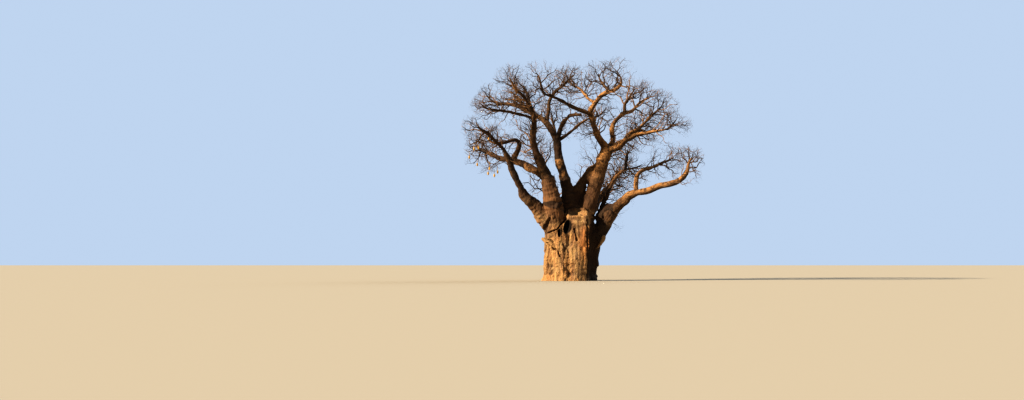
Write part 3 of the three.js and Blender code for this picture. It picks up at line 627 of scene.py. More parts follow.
@dataclass
class Space:
    """The space a mass keeps to: a ball inside a box, cut off halfway to each neighbouring ball."""

    centre: Array
    reach: float
    box: tuple[Array, Array]
    walls: list[tuple[Array, float]] = field(default_factory=list)

    def meet(self, other: "Space") -> None:
        """Puts up the wall between this ball and another that it reaches."""
        normal = other.centre - self.centre
        distance = float(np.linalg.norm(normal))
        offset = (distance ** 2 + self.reach ** 2 - other.reach ** 2) / (2 * distance)
        if offset < self.reach:
            self.walls.append((normal / distance, offset))

    def holds(self, points: Array, margin: Array) -> Array:
        """Whether points lie inside.

        Args:
            points: The points to test.
            margin: How far clear of the walls each has to be.

        Returns:
            True for each point inside.
        """
        local = points - self.centre
        inside = np.linalg.norm(local, axis=-1) <= self.reach
        inside &= ((points > self.box[0]) & (points < self.box[1])).all(axis=-1)
        for normal, offset in self.walls:
            inside &= local @ normal <= offset - margin
        return inside

    def room(self, points: Array, direction: Array, margin: Array) -> Array:
        """How far straight lines can run before they leave the space.

        Args:
            points: Where the lines start.
            direction: Their unit directions.
            margin: How far clear of the walls each stays.

        Returns:
            The length of each line, 0 where it starts outside.
        """
        local = points - self.centre
        along = (local * direction).sum(-1)
        inside = self.reach ** 2 - (local ** 2).sum(-1)
        room = np.sqrt(along ** 2 + np.maximum(inside, 0.0)) - along
        for normal, offset in self.walls:
            approach = direction @ normal
            meets = approach > 1e-6
            wall = (offset - margin - local @ normal) / np.where(meets, approach, 1.0)
            room = np.where(meets, np.minimum(room, wall), room)
        return np.where(inside > 0, np.maximum(room, 0.0), 0.0)


@dataclass(frozen=True)
class Obstacles:
    """Limbs and stems that twigs keep clear of, as rows of capsules."""

    capsules: Array

    def near(self, centre: Array, reach: float) -> "Obstacles":
        """Those that come within a reach of a point."""
        return Obstacles(self.capsules[self.gaps(centre[None])[0] < reach])

    def gaps(self, points: Array) -> Array:
        """The distance from each point to each capsule's surface, with a row for each point."""
        start, line = self.capsules[:, :3], self.capsules[:, 3:6] - self.capsules[:, :3]
        away = points[:, None] - start
        share = np.clip((away * line).sum(-1) / (line ** 2).sum(-1), 0.0, 1.0)
        return np.linalg.norm(away - share[..., None] * line, axis=-1) - self.capsules[:, 6]

    def clear(self, points: Array, radius: Array) -> Array:
        """Whether a ball of each radius at each point touches none of them."""
        if not len(self.capsules):
            return np.ones(len(points), bool)
        return (self.gaps(points) >= radius[:, None] + TWIG_CLEARANCE).all(axis=1)


@dataclass(frozen=True)
class Growth:
    """The rule of one level of twigs, and how its twigs are made.

    The angle from the parent closes from the first figure of spread at the parent's foot to the
    second at its tip.
    """

    tries: int
    most: int
    start: float
    spread: tuple[float, float]
    longest: float
    share: float
    thickness: float
    sides: int
    steps: int

    def scaled(self, reach: float) -> "Growth":
        """The same rule with as many twigs as a ball of this reach has room for."""
        share = (reach / USUAL_REACH) ** 2
        return replace(self, tries=round(self.tries * share), most=max(4, round(self.most * share)))


LEVELS = (
    Growth(26, 7, 0.15, (80, 25), 1.8, 1.2, 0.105, 6, 8),
    Growth(14, 4, 0.25, (75, 40), 1.1, 0.7, 0.058, 5, 6),
    Growth(10, 4, 0.2, (75, 45), 0.65, 0.7, 0.036, 4, 4),
    Growth(5, 2, 0.25, (75, 45), 0.38, 0.75, 0.024, 3, 2),
)
SPRIGS = Growth(34, 4, 0.3, (80, 30), 1.3, 0.5, 0.07, 5, 6)  # twigs on a limb's own bark, in a mass
SHOOTS = Growth(30, 9, 0.3, (85, 45), 1.1, 0.4, 0.06, 5, 6)  # and between the masses
BACK_SHOOTS = Growth(34, 11, 0.3, (80, 40), 1.9, 0.5, 0.1, 5, 7)  # and on the long limbs at the back


def branch_heading(direction: Array, spread: Array, turn: Array) -> Array:
    """Headings of side twigs.

    Args:
        direction: Their parents' directions.
        spread: The angle between twig and parent.
        turn: The angle round the parent.

    Returns:
        Unit headings.
    """
    side = sideways(direction)
    over = np.cross(side, direction)
    spread, turn = np.radians(spread)[..., None], np.radians(turn)[..., None]
    heading = np.cos(spread) * direction + np.sin(spread) * (np.cos(turn) * side + np.sin(turn) * over)
    return unit(heading)


def sprout(parents: Stem | Twigs, seeds: Array, growth: Growth, space: Space, obstacles: Obstacles,
           from_surface: bool = False, thickest: float = math.inf) -> Twigs:
    """Grows one level of twigs on its parents, wherever they have room.

    Args:
        parents: A stem or a batch of twigs.
        seeds: One seed for each parent.
        growth: The level's rule.
        space: The space the twigs keep to.
        obstacles: What they keep clear of.
        from_surface: Whether they start at their parent's bark, as on a thick limb.
        thickest: They stand only where their parent's radius is below this.

    Returns:
        The twigs that found room.
    """
    order = np.arange(growth.tries)
    twig_seeds = (seeds[:, None] * CHILD_SEEDS + order + 1) % SEED_CYCLE
    place = (chance(seeds, Draw.PLACE)[:, None] + EVEN_PLACES * order) % 1.0
    place = growth.start + (1.0 - growth.start) * place
    turn = 360.0 * ((chance(seeds, Draw.TURN)[:, None] + EVEN_TURNS * order) % 1.0)
    closing = growth.spread[0] + (growth.spread[1] - growth.spread[0]) * place
    heading = branch_heading(parents.directions(place), closing, turn)
    start = parents.at(place)
    if from_surface:
        start = start + BARK_DEPTH * parents.radius(place)[..., None] * heading
    pace = LENGTH_SPREAD[0] + (LENGTH_SPREAD[1] - LENGTH_SPREAD[0]) * chance(twig_seeds, Draw.PACE)
    wanted = np.minimum(growth.longest, growth.share * parents.length[:, None]) * pace
    foot = np.minimum(growth.thickness, FOOT_SHARE * 2 * parents.radius(place))
    bent = unit(heading + UP * TWIG_LIFT)
    room = space.room(start, bent, foot / 2 + SPACE_MARGIN) / (1 + TWIG_LIFT / 2)
    length = np.minimum(wanted, TIP_FILL * room)

    flat = place.size
    twigs = Twigs(start.reshape(flat, 3), heading.reshape(flat, 3), length.ravel(), foot.ravel(),
                  twig_seeds.ravel())
    shares = np.broadcast_to(CHECK_SHARES, (flat, len(CHECK_SHARES)))
    points = twigs.at(shares)
    radii = twigs.radius(shares - CHECK_SHARES[0])
    fits = space.holds(points, radii + SPACE_MARGIN).all(axis=1)
    fits &= (length > SHORTEST_SHARE * wanted).ravel() & (parents.radius(place) < thickest).ravel()
    if fits.any():
        clear = obstacles.clear(points[fits].reshape(-1, 3), radii[fits].ravel())
        fits[fits] = clear.reshape(-1, len(CHECK_SHARES)).all(axis=1)
    fits = fits.reshape(place.shape)
    fits &= np.cumsum(fits, axis=1) <= growth.most
    return twigs.pick(fits.ravel())


@dataclass
class Skin:
    """Corners, triangles and each triangle's tone, gathered for one mesh."""

    corners: list[Array] = field(default_factory=list)
    triangles: list[Array] = field(default_factory=list)
    tones: list[Array] = field(default_factory=list)
    count: int = 0

    def add(self, corners: Array, triangles: Array, tones: Array) -> None:
        """Adds a batch of corners and the triangles between them, with each triangle's tone."""
        self.corners.append(corners)
        self.triangles.append(triangles + self.count)
        self.tones.append(tones)
        self.count += len(corners)

    def add_twigs(self, twigs: Twigs, growth: Growth, tones: int) -> None:
        """Adds twigs as closed cones.

        Args:
            twigs: The twigs.
            growth: The rule that they follow.
            tones: The number of tones that are dealt out.
        """
        rings = np.broadcast_to(np.linspace(0.0, 1.0, growth.steps + 1), (len(twigs), growth.steps + 1))
        tone = (chance(twigs.seed, Draw.TONE) * tones).astype(int)
        self._add_tubes(twigs.at(rings), twigs.radius(rings), twigs.side, twigs.over, growth.sides, tone)

    def add_stem(self, course: Course, sides: int, tone: int) -> None:
        """Adds a mass's stem.

        Args:
            course: The stem's course.
            sides: The corners of a ring.
            tone: The stem's tone.
        """
        shares = np.linspace(0.0, 1.0, max(FEWEST_RINGS, round(course.length() / STEM_RING)))
        heading = course.heading(np.array([0.4]))
        side = sideways(heading)
        lumps = 1.0 + STEM_LUMP * noise(course.at(shares) / STEM_LUMP_LENGTH, Grain.STEM)
        radii = course.radius(shares) * lumps
        self._add_tubes(course.at(shares)[None], radii[None], side, np.cross(side, heading), sides,
                        np.array([tone]))

    def _add_tubes(self, centres: Array, radii: Array, side: Array, over: Array, sides: int,
                   tone: Array) -> None:
        """Adds closed tubes that end in a point.

        Args:
            centres: The centres of each tube's rings, and its tip last.
            radii: The rings' radii.
            side: A unit direction across each tube.
            over: The one square to it.
            sides: The corners of a ring.
            tone: Each tube's tone.
        """
        count, rings = radii.shape
        angles = np.arange(sides) * math.tau / sides
        spokes = (side[:, None] * np.cos(angles)[:, None] + over[:, None] * np.sin(angles)[:, None])
        corners = centres[:, :-1, None] + radii[:, :-1, None, None] * spokes[:, None]
        corners = np.concatenate([corners.reshape(count, -1, 3), centres[:, -1:]], axis=1)
        pattern = self._tube_pattern(sides, rings - 1)
        first = np.arange(count) * corners.shape[1]
        triangles = (pattern[None] + first[:, None, None]).reshape(-1, 3)
        self.add(corners.reshape(-1, 3), triangles, np.repeat(tone, len(pattern)))

    @staticmethod
    def _tube_pattern(sides: int, rings: int) -> Array:
        """The triangles of one tube: its wall, its pointed tip and its foot.

        Args:
            sides: The corners of a ring.
            rings: The number of rings.

        Returns:
            The triangles' corners, as numbers from 0.
        """
        here = np.arange(sides)
        after = (here + 1) % sides
        faces = []
        for ring in range(rings - 1):
            low, high = ring * sides, (ring + 1) * sides
            faces.append(np.stack([low + here, low + after, high + after], axis=1))
            faces.append(np.stack([low + here, high + after, high + here], axis=1))
        last = (rings - 1) * sides
        faces.append(np.stack([last + here, last + after, np.full(sides, rings * sides)], axis=1))
        faces.append(np.stack([np.zeros(sides - 2, int), here[2:], here[1:-1]], axis=1))
        return np.vstack(faces)

    def mesh(self, name: str, finishes: Iterable[Finish]) -> Piece:
        """Makes the gathered triangles one object.

        Args:
            name: The object's name.
            finishes: Its materials, in the order of the tones.

        Returns:
            The object, smooth all over.
        """
        corners, triangles = np.vstack(self.corners), np.vstack(self.triangles)
        mesh = bpy.data.meshes.new(name)
        mesh.vertices.add(len(corners))
        mesh.vertices.foreach_set("co", corners.astype(np.float32).ravel())
        mesh.loops.add(triangles.size)
        mesh.loops.foreach_set("vertex_index", triangles.astype(np.int32).ravel())
        mesh.polygons.add(len(triangles))
        mesh.polygons.foreach_set("loop_start", np.arange(0, triangles.size, 3, dtype=np.int32))
        mesh.polygons.foreach_set("material_index", np.concatenate(self.tones).astype(np.int32))
        mesh.polygons.foreach_set("use_smooth", np.ones(len(triangles), bool))
        for finish in finishes:
            mesh.materials.append(finish)
        mesh.update(calc_edges=True)
        mesh.validate()
        piece = bpy.data.objects.new(name, mesh)
        bpy.context.scene.collection.objects.link(piece)
        return piece


@dataclass
class Skeleton:
    """The courses of the trunk's stems, the limbs and the stems of the twig masses."""

    trunk: dict[str, Course] = field(default_factory=dict)
    limbs: dict[str, Course] = field(default_factory=dict)
    stems: dict[str, Course] = field(default_factory=dict)

    def __post_init__(self) -> None:
        """Lays out every course, parents first."""
        for plan in (*TRUNK_STEMS, BRACE):
            self.trunk[plan.name] = Course.grown(plan, np.array(plan.start), -UP)
        for plan in LIMBS:
            start, backward = self._foot(plan)
            self.limbs[plan.name] = Course.grown(plan, start, backward)
        for plan in MASSES:
            parent = self.limbs[plan.on]
            tip = np.array(parent.share(parent.last_knee))
            self.stems[plan.name] = Course.grown(plan, parent.at(tip), -parent.heading(tip))

    def _foot(self, plan: LimbPlan) -> tuple[Array, Array]:
        """Where a limb starts, and the direction back into what carries it."""
        if plan.start is not None:
            return np.array(plan.start), -UP
        parent = self.limbs[plan.on]
        share = np.array(parent.share(plan.knee))
        return parent.at(share), -parent.heading(share)

    def wood(self) -> dict[str, Course]:
        """Every course that the skin of bark covers."""
        return {**self.trunk, **self.limbs}


def deselect() -> None:
    """Leaves no object in edit mode or selected."""
    if bpy.context.object and bpy.context.object.mode != "OBJECT":
        bpy.ops.object.mode_set(mode="OBJECT")
    bpy.ops.object.select_all(action="DESELECT")


def activate(piece: Piece) -> None:
    """Makes a piece the only selected object."""
    deselect()
    piece.select_set(True)
    bpy.context.view_layer.objects.active = piece


def edit_all() -> None:
    """Enters edit mode with everything selected."""
    bpy.ops.object.mode_set(mode="EDIT")
    bpy.ops.mesh.select_all(action="SELECT")


def joined(name: str, pieces: list[Piece]) -> Piece:
    """Joins pieces into the first of them, which gets a new name."""
    activate(pieces[0])
    for piece in pieces[1:]:
        piece.select_set(True)
    bpy.ops.object.join()
    pieces[0].name = pieces[0].data.name = name
    return pieces[0]


def modified(piece: Piece, kind: str, **settings: object) -> None:
    """Gives a piece a modifier with these settings and applies it."""
    modifier = piece.modifiers.new(kind.title(), kind)
    for name, value in settings.items():
        setattr(modifier, name, value)
    activate(piece)
    bpy.ops.object.modifier_apply(modifier=modifier.name)


def turn(heading: Vector, target: Vector, centre: Vector) -> None:
    """Turns what is selected in edit mode.

    Args:
        heading: The direction it faces.
        target: The direction it then faces.
        centre: The point that stays in place.
    """
    angle = heading.angle(target)
    if angle < 1e-4:
        return
    basis = heading.cross(target).to_track_quat("Z", "Y").to_matrix().transposed()
    bpy.ops.transform.rotate(value=angle, orient_axis="Z", orient_type="GLOBAL",
                             orient_matrix=tuple(tuple(row) for row in basis),
                             orient_matrix_type="GLOBAL", constraint_axis=(False, False, True),
                             center_override=centre)


def swept(name: str, course: Course, spacing: float, sides: int) -> Piece:
    """Extrudes a ring along a course, and closes it with a low dome.

    Args:
        name: The piece's name.
        course: The course to follow.
        spacing: The distance between rings.
        sides: The corners of a ring.

    Returns:
        A closed tube.
    """
    shares = np.linspace(0.0, 1.0, max(FEWEST_RINGS, round(course.length() / spacing)))
    bends = (np.minimum(course.radius(shares), WIDEST_BEND) * smoothstep(*BEND_START, shares))[:, None]
    bends = bends * wander(course.at(shares) / BEND_LENGTH, Grain.BEND)
    centres = [Vector(point) for point in course.at(shares) + BEND * bends]
    headings = [Vector(direction) for direction in course.heading(shares)]
    radii = course.radius(shares).tolist()
    for rise, shrink in DOME:
        centres.append(centres[-1] + headings[-1] * (rise * radii[-1]))
        headings.append(headings[-1])
        radii.append(radii[-1] * shrink)

    deselect()
    bpy.ops.mesh.primitive_circle_add(vertices=sides, radius=radii[0], fill_type="NGON")
    piece = bpy.context.object
    piece.name = name
    edit_all()
    turn(Vector((0, 0, 1)), headings[0], Vector((0, 0, 0)))
    bpy.ops.transform.translate(value=centres[0])
    for k in range(1, len(centres)):
        bpy.ops.mesh.extrude_region_move(TRANSFORM_OT_translate={"value": centres[k] - centres[k - 1]})
        turn(headings[k - 1], headings[k], centres[k])
        bpy.ops.transform.resize(value=(radii[k] / radii[k - 1],) * 3, center_override=centres[k])
    bpy.ops.mesh.select_all(action="SELECT")
    bpy.ops.mesh.normals_make_consistent(inside=False)
    deselect()
    return piece


@dataclass(frozen=True)
class Lump:
    """A rounded mass or hollow in the trunk: its middle, its half sizes and its lean to the right."""

    middle: Point
    half: Point
    lean: float = 0.0

    def piece(self, name: str) -> Piece:
        """Models it as a ball, drawn out and leaned over in edit mode.

        Args:
            name: The piece's name.

        Returns:
            The piece.
        """
        deselect()
        bpy.ops.mesh.primitive_ico_sphere_add(subdivisions=4, radius=1.0)
        ball = bpy.context.object
        ball.name = name
        edit_all()
        bpy.ops.transform.resize(value=self.half)
        lean = math.radians(self.lean)
        turn(Vector((0, 0, 1)), Vector((math.sin(lean), 0, math.cos(lean))), Vector((0, 0, 0)))
        bpy.ops.transform.translate(value=self.middle)
        deselect()
        return ball

    def nearness(self, points: Array, blur: float) -> Array:
        """How near points lie to the lump.

        Args:
            points: The points.
            blur: The width of its edge, as a share of its half sizes.

        Returns:
            From 0 past the edge to 1 inside.
        """
        across, back, up = (points - np.array(self.middle)).T
        lean = math.radians(self.lean)
        level = (across * math.cos(lean) - up * math.sin(lean)) / self.half[0]
        rise = (across * math.sin(lean) + up * math.cos(lean)) / self.half[2]
        size = np.sqrt(level ** 2 + (back / self.half[1]) ** 2 + rise ** 2)
        return 1.0 - smoothstep(1.0, 1.0 + blur, size)


@dataclass(frozen=True)
class Spur:
    """A broken stub that grew onto the trunk: the points along it and its radius at each."""

    points: tuple[Point, ...]
    radii: tuple[float, ...]
    edge: float = 0.08  # how far from its surface its raw wood shades off

    def course(self) -> Course:
        """The stub's course."""
        return Course(np.array(self.points), np.array(self.radii))

    def nearness(self, points: Array) -> Array:
        """From 0 away from the stub to 1 at its surface and inside."""
        gap = Obstacles(self.course().capsules()).gaps(points).min(axis=1)
        return 1.0 - smoothstep(0.0, self.edge, gap)


@dataclass(frozen=True)
class Groove:
    """A split in the front of the trunk, carved in and darkened with painted shade, drawn as a line across
    and up.
    """

    line: tuple[tuple[float, float], ...]
    width: float
    depth: float
    front: float = -0.35  # the split lies before this
    waver: float = 0.04  # how far it strays off its line
    waver_length: float = 0.16  # and over what distance
    ragged: float = 0.9  # how much narrower or wider it is in places
    ragged_length: float = 0.35
    middle: float = 0.3  # the share of its width that is deepest

    def nearness(self, points: Array) -> Array:
        """How near points lie to the split.

        Args:
            points: The points.

        Returns:
            From 0 beside the split to 1 at its middle.
        """
        rows = np.flatnonzero(points[:, 1] < self.front)
        waver = self.waver * noise(points[rows] / self.waver_length, Grain.SPLIT)
        flat = points[rows][:, [0, 2]] + waver[:, None]
        ragged = 1.0 + self.ragged * noise(points[rows] / self.ragged_length, Grain.SPLIT_WIDTH)
        gap = np.full(len(rows), math.inf)
        for start, end in zip(np.array(self.line), np.array(self.line[1:])):
            along = end - start
            share = np.clip((flat - start) @ along / (along @ along), 0.0, 1.0)
            gap = np.minimum(gap, np.linalg.norm(flat - start - share[:, None] * along, axis=1))
        near = np.zeros(len(points))
        near[rows] = 1.0 - smoothstep(self.middle * self.width, self.width, gap * ragged)
        return near


@dataclass
class LimbSpace:
    """The space round one course, in which its bark is laid out: across, across and along."""

    course: Course
    seed: int
    step: float = 0.06
    reach: float = 0.3  # how far from the limb's surface its bark is read
    chunk: int = 20000  # the number of points that are read at once

    def __post_init__(self) -> None:
        """Carries a frame along the course without twisting it."""
        count = max(2 * FEWEST_RINGS, round(self.course.length() / self.step))
        self.shares = np.linspace(0.0, 1.0, count + 1)
        self.centres = self.course.at(self.shares)
        self.radii = self.course.radius(self.shares)
        self.headings = self.course.heading(self.shares)
        stretches = np.linalg.norm(np.diff(self.centres, axis=0), axis=1)
        self.along = np.concatenate([[0.0], np.cumsum(stretches)])
        side = sideways(self.headings[0])
        sides = []
        for heading in self.headings:
            side = unit(side - (side @ heading) * heading)
            sides.append(side)
        self.sides = np.array(sides)
        self.overs = np.cross(self.headings, self.sides)

    def near(self, points: Array) -> Array:
        """Which of many points lie near the course's box, as row numbers."""
        margin = self.radii.max() + self.reach
        low, high = self.centres.min(axis=0) - margin, self.centres.max(axis=0) + margin
        return np.flatnonzero(((points > low) & (points < high)).all(axis=1))

    def read(self, points: Array) -> tuple[Array, Array, Array, Array]:
        """Finds where points lie in this space.

        Args:
            points: Points near the course.

        Returns:
            The gap to the limb's plain surface, the local coordinates, the radius and the knee.
        """
        squares = (self.centres ** 2).sum(axis=1)
        nearest = np.concatenate([np.argmin(squares - 2 * chunk @ self.centres.T, axis=1)
                                  for chunk in np.array_split(points, len(points) // self.chunk + 1)])
        pitch = self.along[-1] / (len(self.along) - 1)
        slide = ((points - self.centres[nearest]) * self.headings[nearest]).sum(axis=1)
        slide = np.clip(slide, -0.5 * pitch, 0.5 * pitch)
        place = np.clip(nearest + slide / pitch, 0, len(self.along) - 1)
        across = points - self.centres[nearest] - slide[:, None] * self.headings[nearest]
        radius = np.interp(place, np.arange(len(self.radii)), self.radii)
        local = np.stack([(across * self.sides[nearest]).sum(axis=1),
                          (across * self.overs[nearest]).sum(axis=1),
                          np.interp(place, np.arange(len(self.along)), self.along)], axis=1)
        gap = np.linalg.norm(across, axis=1) - radius
        knee = place / (len(self.along) - 1) * (len(self.course.points) - 1) - 1
        return gap, local, radius, knee


@dataclass(frozen=True)
class Form:
    """A form of the bark: its height, the size of one along three axes and its noise."""

    height: float
    cell: Point
    grain: Grain

    def wave(self, points: Array, shift: Array | float = 0.0) -> Array:
        """The noise that shapes it, from -1 to 1 at each point."""
        return noise(points / np.array(self.cell) + shift, self.grain)


@dataclass(frozen=True)
class BarkRelief:
    """How the bark of a limb swells, folds and splits, in metres on a thick limb.

    Flutes, furrows, fibres and wrinkles lie across, across and along the limb. Knobs, bumps and pits
    lie along the tree's axes. Each zone is a height or a place from left to right.
    """

    swell: float = 0.10
    swell_share: float = 0.36  # the swelling is at most this share of the limb's radius
    swell_width: tuple[float, float] = (1.3, 0.12)  # its width in radii, and metres to add
    swell_draw: float = 1.8  # how much longer than wide it is
    flute: Form = Form(0.08, (0.42, 0.42, 3.2), Grain.FLUTE)
    flute_level: float = 0.1
    furrow: Form = Form(0.045, (0.19, 0.19, 1.1), Grain.FURROW)
    furrow_slope: float = 2.2
    furrow_wall: Ramp = Ramp(0.45, 1.0)
    fibre: Form = Form(0.014, (0.075, 0.075, 0.5), Grain.FIBRE)
    wrinkle: Form = Form(0.05, (0.4, 0.4, 0.14), Grain.WRINKLE)
    knob: Form = Form(0.06, (0.3, 0.3, 0.3), Grain.KNOB)
    knob_wall: Ramp = Ramp(0.3, 0.85)
    bump: Form = Form(0.9, (0.17, 0.3, 0.2), Grain.BUMP)  # its height is a share of a knob's
    bump_wall: Ramp = Ramp(0.1, 0.7)
    pit: Form = Form(0.06, (0.42, 0.42, 0.62), Grain.PIT)
    pit_share: float = 0.45
    own_place: Point = (7.3, 3.1, 1.7)  # how far apart the noises of two limbs are read
    slim_furrow: float = 0.15  # what is left of a furrow on a slim limb
    slim_fibre: float = 0.3
    slim_knob: float = 0.1
    plain_wrinkle: float = 0.3  # what is left of a wrinkle off the wrinkled stretch
    smooth_furrow: float = 0.5  # how much weaker a furrow is on that stretch
    smooth_right: float = 0.6  # how much plainer the right side of the trunk is
    stout: Ramp = Ramp(0.08, 0.55)  # these two are radii
    massive: Ramp = Ramp(0.4, 0.95)
    trunk: Zone = Zone(((Z, 5.2, 3.8),))
    wrinkled: Zone = Zone(((Z, 3.3, 4.0), (Z, 9.0, 7.0)))
    right: Zone = Zone(((X, -0.3, 0.3),))
    knobbly: Zone = Zone(((X, 0.5, -0.3),))

    def heights(self, local: Array, points: Array, radius: Array, seed: int) -> Array:
        """How far the bark stands out of the plain limb.

        Args:
            local: Points in the limb's space.
            points: The same points in the tree's frame.
            radius: The limb's radius at each.
            seed: The limb's own seed.

        Returns:
            Heights in metres, less than 0 in a hollow.
        """
        stout, massive = self.stout(radius), self.massive(radius)
        own = np.array(self.own_place) * seed
        width = (radius * self.swell_width[0] + self.swell_width[1])[:, None]
        swell = noise(local / np.hstack([width, width, width * self.swell_draw]) + own, Grain.SWELL)
        worn = massive * self.trunk(points)
        plain = 1.0 - self.smooth_right * worn * self.right(points)
        wrinkled = self.wrinkled(points)
        furrow = self.furrow_wall(1.0 - self.furrow_slope * np.abs(self.furrow.wave(local, own)))
        furrow *= self.furrow.height * plain * (1.0 - self.smooth_furrow * wrinkled)
        wrinkle = self.wrinkle.height * self.wrinkle.wave(local, own)
        knob = self.knob_wall(self.knob.wave(points))
        knob += self.bump.height * worn * self.knobbly(points) * self.bump_wall(self.bump.wave(points))
        pit = self.pit.height * pits(points / np.array(self.pit.cell), self.pit.grain, self.pit_share)
        height = np.minimum(self.swell, self.swell_share * radius) * swell
        height += self.flute.height * massive * plain * (self.flute.wave(local, own) - self.flute_level)
        height -= furrow * at_least(self.slim_furrow, stout)
        height += self.fibre.height * at_least(self.slim_fibre, stout) * self.fibre.wave(local, own)
        height += stout * at_least(self.plain_wrinkle, wrinkled) * wrinkle
        height += self.knob.height * at_least(self.slim_knob, stout) * knob
        return height - pit * worn


def nearness(lumps: Iterable[Lump], points: Array, blur: float) -> Array:
    """How near points lie to any of some lumps, from 0 past the edges' blur to 1 inside."""
    return np.max([lump.nearness(points, blur) for lump in lumps], axis=0)


@dataclass(frozen=True)
class Marks:
    """What is special on the skin, as a share of 0 to 1 for each corner, and the splits' depth."""

    rot: Array
    ring: Array
    burl: Array
    raw: Array
    split: Array
    depth: Array


@dataclass(frozen=True)
class BarkTones:
    """Where the bark is painted darker with shade or lighter with sunlight, and where it is redder than
    elsewhere.
    """

    # Painted faint shade in the fork of the trunk and the crotch above it.
    painted_faint_shadows: tuple[Lump, ...] = (
        Lump((0.7, -0.3, 5.3), (0.85, 0.9, 0.6), lean=25),
        Lump((-0.3, -0.2, 6.3), (0.42, 0.9, 1.6), lean=-12),
    )
    # Painted shadows on the trunk's right side and on several boughs.
    painted_shadows: tuple[Lump, ...] = (
        Lump((1.9, 0.0, 1.8), (0.82, 1.8, 2.5)),
        Lump((2.2, -0.1, 4.5), (0.5, 1.2, 1.1), lean=35),
        Lump((-1.2, -1.2, 5.05), (0.6, 0.8, 0.26), lean=-8),
        Lump((-3.15, -0.5, 6.8), (0.5, 1.5, 2.0), lean=-36),
        Lump((-1.4, -0.2, 7.5), (0.42, 1.2, 0.65), lean=-25),
        Lump((-0.7, 0.6, 8.6), (0.45, 0.9, 1.8)),
    )
    # Painted sunlit patches on boughs in the crown.
    painted_sun_patches: tuple[Lump, ...] = (
        Lump((-2.65, -0.3, 7.45), (0.6, 1.5, 0.32), lean=24),
        Lump((-3.65, -0.3, 7.85), (0.26, 1.5, 0.26)),
        Lump((-0.66, 0.0, 7.85), (0.16, 1.2, 0.3)),
        Lump((-0.36, 0.0, 7.05), (0.13, 1.2, 0.22)),
    )
    dim: float = 0.5  # how dark a faint painted shadow is, as a share of a full one
    shade_blur: float = 0.25
    sun_blur: float = 0.3
    patch: float = 0.6  # how strongly a painted sunlit patch is lit
    ragged: float = 0.22  # how far the edges of these places stray
    ragged_length: float = 0.45  # and over what distance
    pale_burl: float = 0.75  # how much of the painted shade a burl is spared
    slim: Ramp = Ramp(0.3, 0.65)  # the radii over which limb bark gives way to trunk bark
    aloft: Zone = Zone(((Z, 6.2, 7.6),))  # and the heights over which it comes back
    right: Zone = Zone(((X, 0.0, 1.2),))  # painted sunlight lies to the right of the middle,
    high: Zone = Zone(((Z, 6.2, 8.0),))  # up in the crown
    far_right: Zone = Zone(((X, 2.6, 3.4),))  # and a little less on the low boughs,
    low_sun: float = 0.75
    upward: Ramp = Ramp(-0.65, 0.05)  # except underneath
    knobbly: Zone = Zone(((Z, 4.2, 3.4), (X, 0.9, 0.2)))
    stem: Ramp = Ramp(3.2, 3.9)  # how high the ruddy left stem starts
    stem_slant: float = 0.45
    stem_girth: Ramp = Ramp(0.3, 0.5)
    slab: Zone = Zone(((X, -0.5, -0.2), (Z, 4.9, 4.5)))  # the stem ends at this
    rust: Zone = Zone(((X, 0.4, 0.8), (Z, 0.6, 2.4), (Z, 4.0, 3.2), (Y, -0.3, -0.6)))

    def shares(self, points: Array, girth: Array, facing: Array, marks: Marks) -> dict[str, Array]:
        """How much of each tone the bark has.

        Args:
            points: The skin's corners.
            girth: The limb's radius at each.
            facing: How far each faces up, from -1 to 1.
            marks: The marks on the skin.

        Returns:
            A share of 0 to 1 for each corner, by the name that the finish reads.
        """
        ragged = points + self.ragged * wander(points / self.ragged_length, Grain.RAGGED)
        # How deep in painted shade each corner lies.
        shade = nearness(self.painted_shadows, ragged, self.shade_blur)
        shade = np.maximum(shade, self.dim * nearness(self.painted_faint_shadows, ragged, self.shade_blur))
        patch = nearness(self.painted_sun_patches, ragged, self.sun_blur)
        height = np.maximum(self.high(points), self.low_sun * self.far_right(points))
        # Painted sunlight on the upper sides of limbs right of the middle, up in the crown and on the low
        # right boughs.
        sunned = self.right(points) * height * self.upward(facing)
        stem = self.stem(points[:, Z] + self.stem_slant * points[:, X]) * self.stem_girth(girth)
        stem *= 1.0 - self.slab(points)
        return {
            "slim": np.maximum(1.0 - self.slim(girth), self.aloft(points)),
            # Painted shade, spared on burls, on raw wood and on painted sunlit patches.
            "sombre": shade * (1.0 - self.pale_burl * marks.burl) * (1.0 - marks.raw) * (1.0 - patch),
            "sunned": np.maximum(sunned, self.patch * patch),
            "knobbly": self.knobbly(points),
            "ruddy": np.maximum(stem, marks.burl),
            "rust": self.rust(points),
        }


